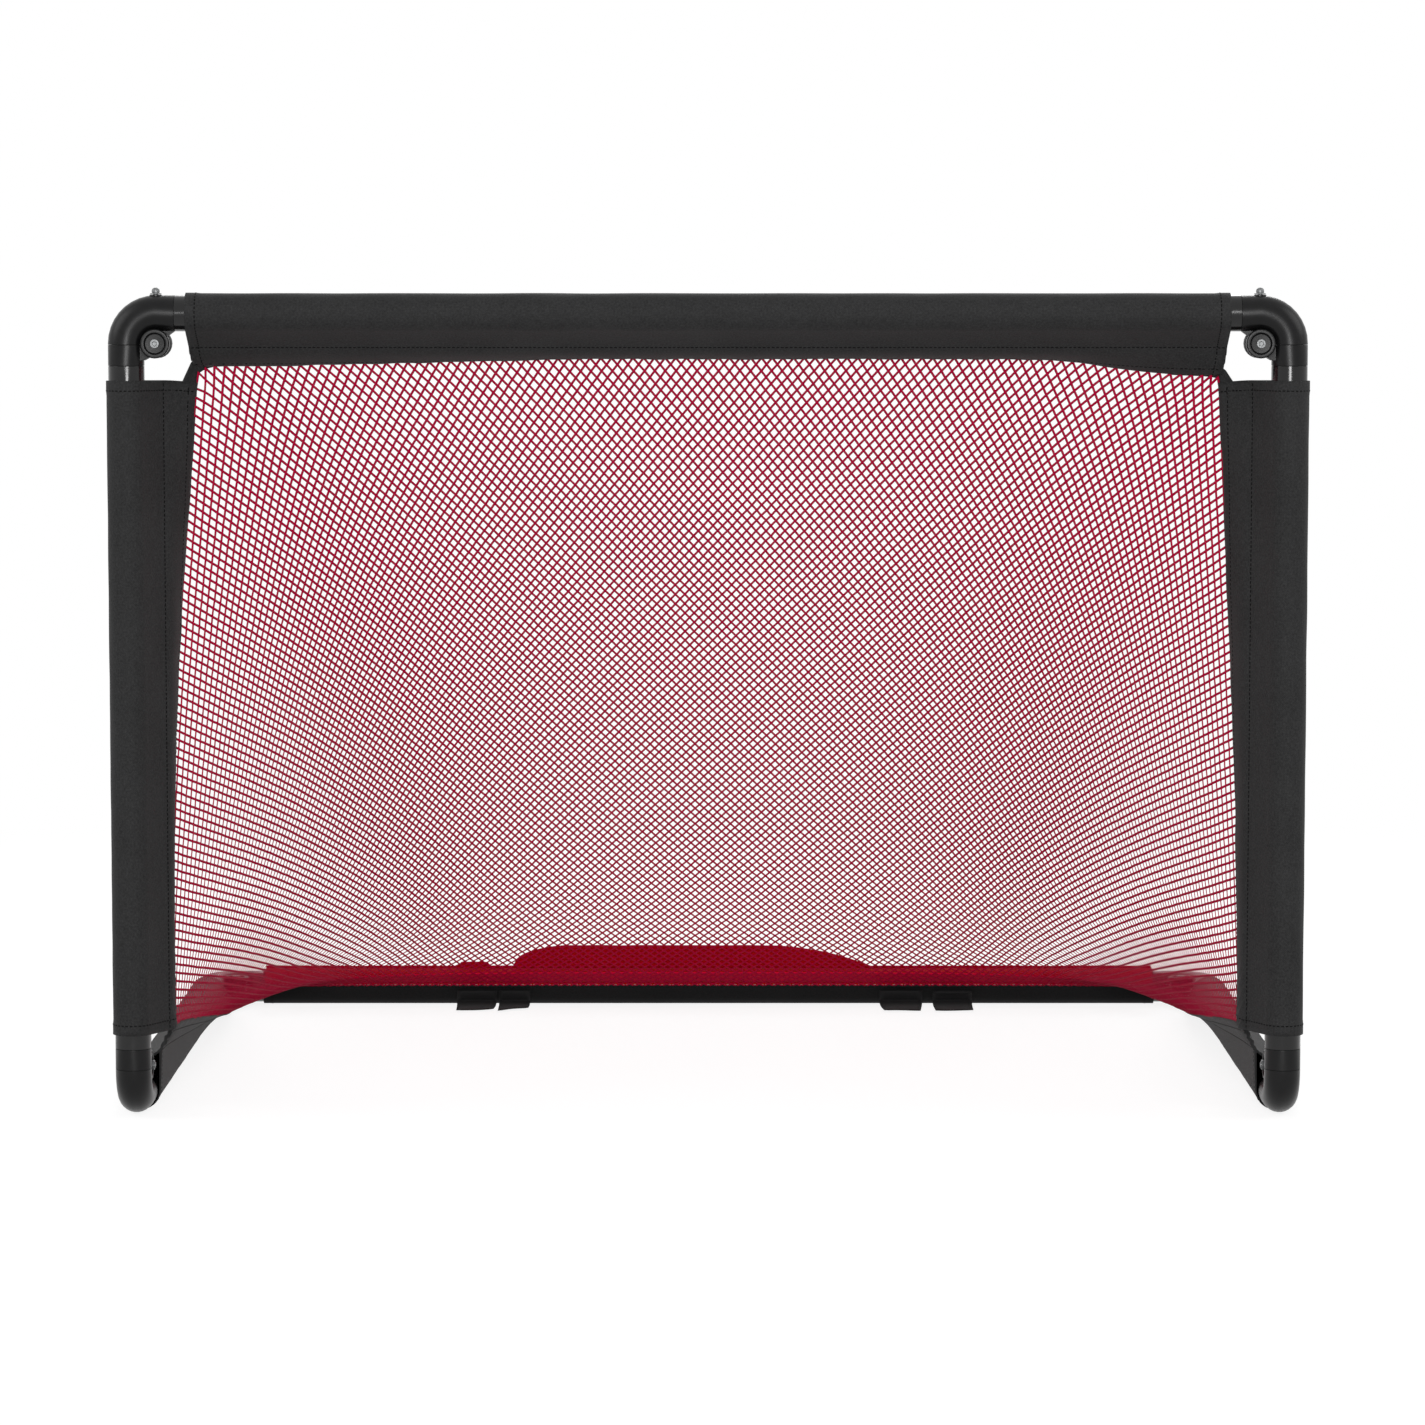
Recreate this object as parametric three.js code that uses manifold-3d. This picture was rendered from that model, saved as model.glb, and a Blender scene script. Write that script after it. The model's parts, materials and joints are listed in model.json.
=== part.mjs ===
// Folding hockey goal: a tubular steel frame on six hinged corner mouldings, cloth sleeves with
// flaps over every bar, and one sheet of diamond netting from the front frame to the base.
// Millimetres, +Z up, the mouth faces -Y, the origin is the centre of the footprint on the floor.
import * as THREE from 'three';
import { mergeVertices } from 'three/addons/utils/BufferGeometryUtils.js';
import Module from 'manifold-3d';

const wasm = await Module();
wasm.setup();

// Frame
const postSpacing = 1158; // between the two post axes
const barHeight = 790; // crossbar axis above the ground bars' axes
const barDepth = 790; // rear bar axis behind the post axes, equal to the height so that it folds flat
const tubeDiameter = 36;
const tubeWall = 1.2;
const runningGap = 0.3; // between pieces that touch or slide on the real goal

// Hinged corner moulding
const bendRadius = 30; // centreline of the bend; the pin stands this far inside both legs
const elbowLegRun = 19; // straight run from the bend to the tube's end
const seamRise = 1; // the bend ends this far past the pin
const collarLength = 20.7;
const spigotLength = 36;
const spigotFit = 0.3; // between a spigot and the tube's inside
const spigotChamfer = 2;
const tongueThickness = 9;
const tongueClearance = 0.4; // between the tongue's round end and the knuckle's leg
const tongueLugAngle = 30; // degrees past the pin at which the lug runs out along the leg
const cheekThickness = 5.2;
const cheekClearance = 0.36; // between a cheek's round end and the elbow's bend
const cheekTopAngle = 105; // degrees round the pin at which a cheek leaves for its collar
const cheekSetback = 4; // from a cheek's top to the end of its collar
const cheekRoot = 8; // how far a cheek reaches into its collar
const pinDiameter = 6;
const pinHoleFit = 0.4;
const earDiameter = 29.4;
const earThickness = 5.7;
const earRimWidth = 3.7;
const earRimChamfer = 1;
const earDishRadius = 9.6;
const earDishDepth = 2.2;
const pinHeadDiameter = 9;
const pinHeadHeight = 3.2;
const socketWidth = 4.6; // across the corners of the hex socket
const socketDepth = 1.8;
const nutAcrossCorners = 11;
const nutHeight = 4;
const pinTip = 1; // the pin's end past its nut
const hexSides = 6;
const clampScrewDiameter = 5;
const clampScrewDepth = 25;
const setScrewRecess = 1;
const clampBossDiameter = 12.6;
const clampBossRise = 0.4;
const clampBossDepth = 4;
const washerDiameter = 11.5;
const washerThickness = 1.2;
const domeDiameter = 8;
const domeHeight = 5.4;
const domeSide = 2.4; // straight side below the dome

// Cloth sleeves
const sleeveSides = 16;
const sleeveDiameter = 40;
const sleeveFit = 0.3; // between the sleeve and its tube
const flapThickness = 2;
const flapReach = 75; // from a bar's axis to the flap's free edge
const pocketSeamReach = 31; // from a bar's axis to the seam that closes the pocket
const crossbarSleeveSetback = 10.7; // bare tube between a moulding and a sleeve
const postSleeveSetback = 14.5;
const baseSleeveSetback = 8;
const flapLeanMiddle = 54.5; // degrees that the crossbar's flap leans back from the plane of the mouth
const cornerStretch = 0.2; // share of the crossbar over which its flap's lean settles
const groundFlapFrontLean = 27; // degrees inward from upright
const groundFlapRearLean = 118;
const groundFlapTurnPower = 1.5; // above 1, the flap turns mostly towards its rear end
const groundFlapFrontReach = 72;
const groundFlapRearReach = 31;
const groundFlapTaperPower = 1.35; // above 1, the flap narrows mostly towards its front end

// The cloth hangs unevenly: degrees that each side's flaps lean back from the plane of the mouth.
const leftSide = {
  name: 'left', sign: -1, crossbarLean: 47, postLeanTop: 33, postLeanBottom: 65, postLeanPower: 2.2,
};
const rightSide = {
  name: 'right', sign: 1, crossbarLean: 37, postLeanTop: 30, postLeanBottom: 58, postLeanPower: 1.8,
};
const sides = [leftSide, rightSide];
const rearFlapRise = 28;
const rearFlapEndRise = 8;
const rearFlapCrest = 0.7; // share of the stretch, from the right, at which the flap is highest
const rearFlapHandles = { rise: 0.3, lift: 0.75, crest: 0.35, fall: 0.95 }; // of its curve, as shares
const rearFlapLeft = -228; // ends of the stretch where the rear flap stands up
const rearFlapRight = 189;
const cornerPatchWidth = 15;
const cornerPatchFoot = 8;
const cornerPatchLap = 2; // from the free edge of the post's flap to the patch

// Hook-and-loop straps round the rear bar
const strapThickness = 1.6;
const strapTail = 55; // length that lies on the floor in front of the bar
const strapToe = 4; // run in which a strap comes down from the bar to the floor
const strapBelowHem = 15; // degrees round the bar from the netting's hem to the strap's upper end
const strapLeaveAngle = 225; // degrees round the bar at which the strap leaves it
const strapWraps = [
  { name: 'left_strap_loop_tab', centre: -270, width: 46 },
  { name: 'left_strap_hook_tab', centre: -226, width: 36 },
  { name: 'right_strap_hook_tab', centre: 224, width: 50 },
  { name: 'right_strap_loop_tab', centre: 284, width: 46 },
];

// Netting
const netCellsPerSide = 8; // meshes along a post, and along a ground bar
const netCellsAcross = 9; // meshes along the crossbar
const strandWidth = 4;
const strandThickness = 2;
const netDroop = 40; // how far the settling pushes each knot down in all
const netRelaxSteps = 16; // rounds off the fold between the goal's back and its sides
const netCornerInset = 11; // the netting's top corners are rounded off
const groundHemSlack = 0.8; // the netting hangs a little clear of the twisting flaps
const crossbarHemSlack = 0.5;
const netFloorGap = 3.5; // least height of the netting's strands above the floor
const rearHemAngle = 8; // degrees above level at which the net meets the rear bar's sleeve

// Facets
const roundSides = 28;
const bendSteps = 9;
const earSides = 24;
const boltSides = 12;
const arcPoints = 6;
const strapArcSteps = 7;

// Modelling
const overlapDepth = 0.5; // how far shapes that become one solid reach into each other
const cutMargin = 1; // how far a cut runs past the surface
const weldDistance = 1e-4;

const tubeRadius = tubeDiameter / 2;
const spigotRadius = tubeRadius - tubeWall - spigotFit;
const elbowEnd = bendRadius + elbowLegRun;
const elbowSeam = bendRadius + seamRise;
const collarStart = elbowSeam + runningGap;
const collarEnd = collarStart + collarLength;
const pinRadius = pinDiameter / 2;
const pinHoleRadius = pinRadius + pinHoleFit;
const tongueRadius = bendRadius - tubeRadius - tongueClearance;
const cheekInside = tongueThickness / 2 + runningGap;
const cheekOutside = cheekInside + cheekThickness;
const cheekRadius = bendRadius - Math.sqrt(tubeRadius ** 2 - cheekInside ** 2) - cheekClearance;
const earTop = cheekOutside + earThickness;
const dishFloor = earTop - earDishDepth;
const sleeveRadius = sleeveDiameter / 2;
const sleeveApothem = sleeveRadius * Math.cos(Math.PI / sleeveSides);
const groundAxis = sleeveApothem; // the sleeves rest on a flat of their own on the floor
const crossbarAxis = groundAxis + barHeight;
const postX = postSpacing / 2;
const degrees = Math.PI / 180;

const blackSteel = new THREE.MeshStandardMaterial({ color: 0x16171a, roughness: 0.22, metalness: 0.3 });
const blackMoulding = new THREE.MeshStandardMaterial({ color: 0x1b1c1e, roughness: 0.38 });
const blackCloth = new THREE.MeshStandardMaterial({ color: 0x2d2d2e, roughness: 0.85 });
const blackWebbing = new THREE.MeshStandardMaterial({ color: 0x1a1a1b, roughness: 0.9 });
const brightSteel = new THREE.MeshStandardMaterial({ color: 0xb9bcc0, roughness: 0.3, metalness: 1 });
const redNetting = new THREE.MeshStandardMaterial({ color: 0xb3102f, roughness: 0.6 });
const redCloth = new THREE.MeshStandardMaterial({ color: 0x780a12, roughness: 0.85 });

const goal = new THREE.Group();

function addMesh(name, geometry, material, placement) {
  const mesh = new THREE.Mesh(geometry, material);
  mesh.name = name;
  if (placement) mesh.applyMatrix4(placement);
  goal.add(mesh);
}

// ---- solids ----

function geometryFrom(positions, triangles) {
  const geometry = new THREE.BufferGeometry();
  geometry.setAttribute('position', new THREE.Float32BufferAttribute(positions, 3));
  geometry.setIndex(triangles);
  return geometry;
}

function merged(geometry) {
  const bare = geometry.clone();
  bare.deleteAttribute('normal');
  bare.deleteAttribute('uv');
  return mergeVertices(bare, weldDistance);
}

function toSolid(geometry) {
  const bare = merged(geometry);
  return new wasm.Manifold(new wasm.Mesh({
    numProp: 3,
    vertProperties: new Float32Array(bare.attributes.position.array),
    triVerts: new Uint32Array(bare.index.array),
  }));
}

function fromSolid(solid) {
  const mesh = solid.getMesh();
  return geometryFrom(Array.from(mesh.vertProperties), Array.from(mesh.triVerts));
}

function signedVolume(rings) {
  let total = 0;
  const [a, b, c] = [new THREE.Vector3(), new THREE.Vector3(), new THREE.Vector3()];
  for (let i = 0; i < rings.triangles.length; i += 3) {
    a.fromArray(rings.positions, 3 * rings.triangles[i]);
    b.fromArray(rings.positions, 3 * rings.triangles[i + 1]);
    c.fromArray(rings.positions, 3 * rings.triangles[i + 2]);
    total += a.dot(b.cross(c));
  }
  return total;
}

// A closed solid through stations along a bar. Each station places an outline and, for a hollow
// piece, a bore, both lists of Vector2 with the same counts at every station.
function lofted(given) {
  const clockwise = THREE.ShapeUtils.isClockWise(given[0].outline);
  const stations = given.map(({ outline, bore, placement }) => ({
    outline: clockwise ? [...outline].reverse() : outline,
    bore,
    placement,
  }));
  const outlineCount = stations[0].outline.length;
  const boreCount = stations[0].bore ? stations[0].bore.length : 0;
  const ringSize = outlineCount + boreCount;
  const positions = [];
  const triangles = [];
  for (const { outline, bore, placement } of stations) {
    for (const point of [...outline, ...(bore ?? [])]) {
      positions.push(...new THREE.Vector3(point.x, point.y, 0).applyMatrix4(placement).toArray());
    }
  }
  const wall = (start, count, inward) => {
    for (let s = 0; s + 1 < stations.length; s += 1) {
      for (let i = 0; i < count; i += 1) {
        const a = s * ringSize + start + i;
        const b = s * ringSize + start + ((i + 1) % count);
        const [c, d] = [a + ringSize, b + ringSize];
        // The two faces of a flap are cut along the same diagonal, so a twist keeps its thickness.
        const faces = i < count / 2 ? [a, b, c, b, d, c] : [a, b, d, a, d, c];
        if (inward) faces.reverse();
        triangles.push(...faces);
      }
    }
  };
  wall(0, outlineCount, false);
  if (boreCount) wall(outlineCount, boreCount, true);
  const endCap = (station, offset, flip) => {
    const faces = THREE.ShapeUtils.triangulateShape(
      station.outline,
      station.bore ? [station.bore] : [],
    );
    for (const [a, b, c] of faces) {
      if (flip) triangles.push(a + offset, c + offset, b + offset);
      else triangles.push(a + offset, b + offset, c + offset);
    }
  };
  endCap(stations[0], 0, true);
  endCap(stations.at(-1), (stations.length - 1) * ringSize, false);
  if (signedVolume({ positions, triangles }) < 0) {
    for (let i = 0; i < triangles.length; i += 3) {
      [triangles[i + 1], triangles[i + 2]] = [triangles[i + 2], triangles[i + 1]];
    }
  }
  return geometryFrom(positions, triangles);
}

function circle(radius, sides, turn = 0) {
  return Array.from({ length: sides }, (_, i) => {
    const angle = turn + (2 * Math.PI * i) / sides;
    return new THREE.Vector2(radius * Math.cos(angle), radius * Math.sin(angle));
  });
}

function prism(outline, from, to) {
  const shape = new THREE.Shape(outline);
  const geometry = new THREE.ExtrudeGeometry(shape, { depth: to - from, bevelEnabled: false, steps: 1 });
  return geometry.translate(0, 0, from);
}

function disc(radius, sides, from, to) {
  return prism(circle(radius, sides, Math.PI / sides), from, to);
}

function turned(profile, sides) {
  const points = profile.map(([radius, height]) => new THREE.Vector2(radius, height));
  return new THREE.LatheGeometry(points, sides).rotateX(Math.PI / 2);
}

function basis(x, y, z, origin) {
  return new THREE.Matrix4().makeBasis(x, y, z).setPosition(origin);
}

const xAxis = new THREE.Vector3(1, 0, 0);
const yAxis = new THREE.Vector3(0, 1, 0);
const zAxis = new THREE.Vector3(0, 0, 1);

// ---- hinged corner moulding ----
// Its own frame: x runs along the fixed leg, y along the knuckle's leg, z along the hinge pin, and
// the origin is where the two bars' axes cross.

function ringAcross(centre, along, radius) {
  const side = new THREE.Vector3().crossVectors(zAxis, along);
  return {
    outline: circle(radius, roundSides, Math.PI / roundSides),
    placement: basis(side, zAxis, new THREE.Vector3().crossVectors(side, zAxis), centre),
  };
}

// Rings of a spigot that ends at a shoulder, listed from its tip to the shoulder.
function spigotRings(shoulder, along) {
  const ring = (distance, radius) =>
    ringAcross(along.clone().multiplyScalar(shoulder + distance), along.clone().negate(), radius);
  return [
    ring(spigotLength, spigotRadius - spigotChamfer),
    ring(spigotLength - spigotChamfer, spigotRadius),
    ring(0, spigotRadius),
    ring(0, tubeRadius),
  ];
}

const halfTurn = new THREE.Matrix4().makeRotationX(Math.PI);
const pinCentre = new THREE.Vector3(bendRadius, bendRadius, 0);
const pinPlacement = new THREE.Matrix4().makeTranslation(pinCentre);

function tongueOutline() {
  const lugDrop = -(bendRadius - tubeRadius) - overlapDepth;
  const root = -(bendRadius - tubeRadius / 2);
  const shape = new THREE.Shape();
  shape.absarc(0, 0, tongueRadius, Math.PI, -tongueLugAngle * degrees, true);
  shape.lineTo(elbowLegRun, lugDrop);
  shape.lineTo(elbowLegRun, root);
  shape.lineTo(root, root);
  shape.lineTo(root, 0);
  return shape.getPoints(arcPoints);
}

// The clamp screw's frame: z runs from the moulding's outside towards the pin.
const screwPlacement = new THREE.Matrix4().makeRotationX(-Math.PI / 2).setPosition(bendRadius, 0, 0);
const clampSeat = -(tubeRadius + clampBossRise);

function elbowGeometry(hasBoss) {
  const rings = spigotRings(elbowEnd, xAxis);
  for (let i = 0; i <= bendSteps; i += 1) {
    const angle = (Math.PI / 2) * (i / bendSteps);
    const outward = new THREE.Vector3(-Math.sin(angle), -Math.cos(angle), 0);
    const centre = pinCentre.clone().addScaledVector(outward, bendRadius);
    rings.push(ringAcross(centre, new THREE.Vector3(outward.y, -outward.x, 0), tubeRadius));
  }
  rings.push(ringAcross(new THREE.Vector3(0, elbowSeam, 0), yAxis, tubeRadius));
  const tongue = prism(tongueOutline(), -tongueThickness / 2, tongueThickness / 2);
  const pinHole = disc(pinHoleRadius, boltSides, -tongueThickness, tongueThickness);
  const boss = disc(clampBossDiameter / 2, boltSides, clampSeat, clampSeat + clampBossDepth);
  const screwHole = disc(
    clampScrewDiameter / 2 + pinHoleFit, boltSides, 2 * clampSeat, clampSeat + clampScrewDepth + cutMargin,
  );
  let solid = toSolid(lofted(rings)).add(toSolid(tongue.applyMatrix4(pinPlacement)));
  if (hasBoss) solid = solid.add(toSolid(boss.applyMatrix4(screwPlacement)));
  return fromSolid(
    solid
      .subtract(toSolid(pinHole.applyMatrix4(pinPlacement)))
      .subtract(toSolid(screwHole.applyMatrix4(screwPlacement))),
  );
}

// Round end about the pin and a root inside the collar, which stops short of the elbow's leg.
function cheekOutline() {
  const collarSide = -(bendRadius - tubeRadius);
  const foot = seamRise + runningGap;
  const top = collarLength - cheekSetback;
  const lowest = -Math.acos((collarSide + overlapDepth) / cheekRadius);
  const shape = new THREE.Shape();
  shape.absarc(0, 0, cheekRadius, cheekTopAngle * degrees, lowest, true);
  shape.lineTo(-Math.sqrt(cheekRadius ** 2 - foot ** 2), foot);
  shape.lineTo(collarSide - cheekRoot, foot);
  shape.lineTo(collarSide - cheekRoot, top);
  shape.lineTo(collarSide + overlapDepth, top);
  return shape.getPoints(arcPoints);
}

// Round ear with a raised rim and a dish for the bolt's head, on the outside of a cheek.
function earGeometry() {
  const outer = earDiameter / 2;
  return turned([
    [0, cheekOutside - overlapDepth],
    [earDishRadius, cheekOutside - overlapDepth],
    [earDishRadius, cheekOutside],
    [outer, cheekOutside],
    [outer, earTop - earRimChamfer],
    [outer - earRimChamfer, earTop],
    [outer - earRimWidth, earTop],
    [earDishRadius, dishFloor],
    [0, dishFloor],
  ], earSides);
}

function knuckleGeometry() {
  const rings = spigotRings(collarEnd, yAxis);
  rings.push(ringAcross(new THREE.Vector3(0, collarStart, 0), yAxis.clone().negate(), tubeRadius));
  let solid = toSolid(lofted(rings));
  for (const face of [new THREE.Matrix4(), halfTurn]) {
    const cheek = prism(cheekOutline(), cheekInside, cheekOutside);
    if (face === halfTurn) cheek.translate(0, 0, -cheekInside - cheekOutside);
    const ear = earGeometry().applyMatrix4(face);
    solid = solid.add(toSolid(cheek.applyMatrix4(pinPlacement))).add(toSolid(ear.applyMatrix4(pinPlacement)));
  }
  const hole = disc(pinHoleRadius, boltSides, -earTop - cutMargin, earTop + cutMargin);
  return fromSolid(solid.subtract(toSolid(hole.applyMatrix4(pinPlacement))));
}

function pinBoltGeometry() {
  const headBase = dishFloor + runningGap;
  const headTop = headBase + pinHeadHeight;
  const head = disc(pinHeadDiameter / 2, boltSides, headBase, headTop);
  const shankEnd = -(headBase + nutHeight + pinTip);
  const shank = disc(pinRadius, boltSides, shankEnd, headBase + overlapDepth);
  const socket = disc(socketWidth / 2, hexSides, headTop - socketDepth, headTop + cutMargin);
  return fromSolid(toSolid(head).add(toSolid(shank)).subtract(toSolid(socket)));
}

function pinNutGeometry() {
  const base = -(dishFloor + runningGap);
  const shape = new THREE.Shape(circle(nutAcrossCorners / 2, hexSides));
  shape.holes.push(new THREE.Path(circle(pinHoleRadius, boltSides)));
  return new THREE.ExtrudeGeometry(shape, { depth: nutHeight, bevelEnabled: false, steps: 1 })
    .translate(0, 0, base - nutHeight);
}

function clampScrewGeometry() {
  const headBase = clampSeat - washerThickness - 2 * runningGap;
  const radius = domeDiameter / 2;
  const shank = clampScrewDiameter / 2;
  const dome = [0, 30, 60, 90].map((fromCrown) => [
    radius * Math.sin(fromCrown * degrees),
    headBase - domeSide - (domeHeight - domeSide) * Math.cos(fromCrown * degrees),
  ]);
  return turned([
    ...dome,
    [radius, headBase],
    [shank, headBase],
    [shank, clampSeat + clampScrewDepth],
    [0, clampSeat + clampScrewDepth],
  ], boltSides);
}

function setScrewGeometry() {
  return disc(clampScrewDiameter / 2, boltSides, clampSeat + setScrewRecess, clampSeat + clampScrewDepth);
}

function washerGeometry() {
  const shape = new THREE.Shape(circle(washerDiameter / 2, boltSides));
  shape.holes.push(new THREE.Path(circle(clampScrewDiameter / 2 + pinHoleFit, boltSides)));
  return new THREE.ExtrudeGeometry(shape, { depth: washerThickness, bevelEnabled: false, steps: 1 })
    .translate(0, 0, clampSeat - runningGap - washerThickness);
}

// A corner's frame from the directions of its fixed leg and its knuckle's leg.
function cornerPlacement(fixedLeg, knuckleLeg, origin) {
  return basis(fixedLeg, knuckleLeg, new THREE.Vector3().crossVectors(fixedLeg, knuckleLeg), origin);
}

const cornerRows = [
  {
    name: 'top',
    headTowards: yAxis.clone().negate(),
    place: (sign) => cornerPlacement(
      xAxis.clone().multiplyScalar(-sign),
      zAxis.clone().negate(),
      new THREE.Vector3(sign * postX, 0, crossbarAxis),
    ),
  },
  {
    name: 'bottom',
    headTowards: null,
    place: (sign) => cornerPlacement(yAxis, zAxis, new THREE.Vector3(sign * postX, 0, groundAxis)),
  },
  {
    name: 'rear',
    headTowards: zAxis,
    place: (sign) => cornerPlacement(
      xAxis.clone().multiplyScalar(-sign),
      yAxis.clone().negate(),
      new THREE.Vector3(sign * postX, barDepth, groundAxis),
    ),
  },
];

function addCorners() {
  const elbow = elbowGeometry(true);
  const plainElbow = elbowGeometry(false);
  const knuckle = knuckleGeometry();
  const pinBolt = pinBoltGeometry();
  const pinNut = pinNutGeometry();
  for (const { name: row, headTowards, place } of cornerRows) {
    for (const { name: side, sign } of sides) {
      const corner = place(sign);
      const named = (piece) => `${row}_${side}_${piece}`;
      addMesh(named('elbow'), row === 'bottom' ? plainElbow : elbow, blackMoulding, corner);
      addMesh(named('knuckle'), knuckle, blackMoulding, corner);
      const pinAxis = new THREE.Vector3().setFromMatrixColumn(corner, 2);
      const head = headTowards ?? xAxis.clone().multiplyScalar(sign);
      const pin = corner.clone().multiply(pinPlacement);
      if (pinAxis.dot(head) < 0) pin.multiply(halfTurn);
      addMesh(named('pivot_bolt'), pinBolt, brightSteel, pin);
      addMesh(named('pivot_nut'), pinNut, brightSteel, pin);
      const screw = corner.clone().multiply(screwPlacement);
      if (row === 'bottom') {
        addMesh(named('set_screw'), setScrewGeometry(), brightSteel, screw);
      } else {
        addMesh(named('clamp_screw'), clampScrewGeometry(), brightSteel, screw);
        addMesh(named('clamp_washer'), washerGeometry(), brightSteel, screw);
      }
    }
  }
}

// ---- tubes ----

function tubeGeometry(length) {
  const outline = circle(tubeRadius, roundSides, Math.PI / roundSides);
  const bore = circle(tubeRadius - tubeWall, roundSides, Math.PI / roundSides);
  const at = (z) => new THREE.Matrix4().makeTranslation(0, 0, z);
  return lofted([{ outline, bore, placement: at(0) }, { outline, bore, placement: at(length) }]);
}

const elbowTubeStart = elbowEnd + runningGap;
const knuckleTubeStart = collarEnd + runningGap;
const alongX = basis(yAxis, zAxis, xAxis, new THREE.Vector3());
const alongY = basis(zAxis, xAxis, yAxis, new THREE.Vector3());

function addTubes() {
  const crossLength = postSpacing - 2 * elbowTubeStart;
  const crossPlacement = (y, z) => new THREE.Matrix4()
    .makeTranslation(-crossLength / 2, y, z).multiply(alongX);
  addMesh('crossbar_tube', tubeGeometry(crossLength), blackSteel, crossPlacement(0, crossbarAxis));
  addMesh('rear_bar_tube', tubeGeometry(crossLength), blackSteel, crossPlacement(barDepth, groundAxis));
  for (const { name, sign } of sides) {
    const post = new THREE.Matrix4().makeTranslation(sign * postX, 0, groundAxis + knuckleTubeStart);
    addMesh(`${name}_post_tube`, tubeGeometry(barHeight - 2 * knuckleTubeStart), blackSteel, post);
    const ground = new THREE.Matrix4()
      .makeTranslation(sign * postX, elbowTubeStart, groundAxis).multiply(alongY);
    const groundLength = barDepth - elbowTubeStart - knuckleTubeStart;
    addMesh(`${name}_ground_tube`, tubeGeometry(groundLength), blackSteel, ground);
  }
}

// ---- cloth sleeves ----

const boreRadius = (tubeRadius + sleeveFit) / Math.cos(Math.PI / sleeveSides);
const sleeveBore = (turn = 0) => circle(boreRadius, sleeveSides, Math.PI / sleeveSides + turn);

// Pocket round the tube that draws in to a seam, then a flap, which runs along +x.
function flappedOutline(reach) {
  const half = flapThickness / 2;
  const tangent = Math.acos(sleeveRadius / pocketSeamReach);
  const arcSteps = 2 * arcPoints;
  const arc = Array.from({ length: arcSteps + 1 }, (_, i) => {
    const angle = tangent + ((2 * Math.PI - 2 * tangent) * i) / arcSteps;
    return new THREE.Vector2(sleeveRadius * Math.cos(angle), sleeveRadius * Math.sin(angle));
  });
  return [
    new THREE.Vector2(reach, -half),
    new THREE.Vector2(reach, half),
    new THREE.Vector2(pocketSeamReach, half),
    ...arc,
    new THREE.Vector2(pocketSeamReach, -half),
  ];
}

const crossbarSleeveEnd = postX - elbowTubeStart - crossbarSleeveSetback;
const postSleeveTop = crossbarAxis - knuckleTubeStart - postSleeveSetback;
const postSleeveBottom = groundAxis + knuckleTubeStart + postSleeveSetback;
const groundSleeveFront = elbowTubeStart + baseSleeveSetback;
const groundSleeveRear = barDepth - knuckleTubeStart - baseSleeveSetback;

const mix = THREE.MathUtils.lerp;
const smooth = (value) => THREE.MathUtils.smootherstep(value, 0, 1);

// Directions from a bar's axis to its flap's free edge, by the share of the way along the bar.
function crossbarFlapDirection(share) {
  const end = share < 0.5 ? leftSide : rightSide;
  const fromCorner = smooth(Math.min(share, 1 - share) / cornerStretch);
  const lean = mix(end.crossbarLean, flapLeanMiddle, fromCorner) * degrees;
  return new THREE.Vector3(0, Math.sin(lean), -Math.cos(lean));
}

function postFlapDirection(share, side) {
  const lean = mix(side.postLeanBottom, side.postLeanTop, share ** side.postLeanPower) * degrees;
  return new THREE.Vector3(-side.sign * Math.cos(lean), Math.sin(lean), 0);
}

function groundFlapDirection(share, side) {
  const lean = mix(groundFlapFrontLean, groundFlapRearLean, share ** groundFlapTurnPower) * degrees;
  return new THREE.Vector3(-side.sign * Math.sin(lean), 0, Math.cos(lean));
}

function groundFlapReach(share) {
  return mix(groundFlapRearReach, groundFlapFrontReach, (1 - share) ** groundFlapTaperPower);
}

function crossbarAxisPoint(share) {
  return new THREE.Vector3(mix(-crossbarSleeveEnd, crossbarSleeveEnd, share), 0, crossbarAxis);
}

function postAxisPoint(share, side) {
  return new THREE.Vector3(side.sign * postX, 0, mix(postSleeveBottom, postSleeveTop, share));
}

function groundAxisPoint(share, side) {
  return new THREE.Vector3(side.sign * postX, mix(groundSleeveFront, groundSleeveRear, share), groundAxis);
}

// The flap may turn along the bar, but the bore keeps its place on the tube.
function sleeveStation(axisPoint, flapDirection, barDirection) {
  const across = new THREE.Vector3().crossVectors(barDirection, flapDirection);
  const fixed = barDirection === xAxis ? zAxis : xAxis;
  const turn = Math.atan2(across.dot(fixed), flapDirection.dot(fixed));
  return {
    outline: flappedOutline(flapReach),
    bore: sleeveBore(turn),
    placement: basis(flapDirection, across, barDirection, axisPoint),
  };
}

const shares = (steps) => Array.from({ length: steps + 1 }, (_, i) => i / steps);

function pocketGeometry(length) {
  const outline = circle(sleeveRadius, sleeveSides, Math.PI / sleeveSides);
  const at = (z) => new THREE.Matrix4().makeTranslation(0, 0, z);
  return lofted([
    { outline, bore: sleeveBore(), placement: at(0) },
    { outline, bore: sleeveBore(), placement: at(length) },
  ]);
}

function groundFlapGeometry(side) {
  const half = flapThickness / 2;
  const root = sleeveRadius + runningGap;
  return lofted(shares(netCellsPerSide).map((share) => {
    const direction = groundFlapDirection(share, side);
    const across = new THREE.Vector3().crossVectors(yAxis, direction);
    return {
      outline: [
        new THREE.Vector2(root, -half),
        new THREE.Vector2(groundFlapReach(share), -half),
        new THREE.Vector2(groundFlapReach(share), half),
        new THREE.Vector2(root, half),
      ],
      placement: basis(direction, across, yAxis, groundAxisPoint(share, side)),
    };
  }));
}

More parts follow.
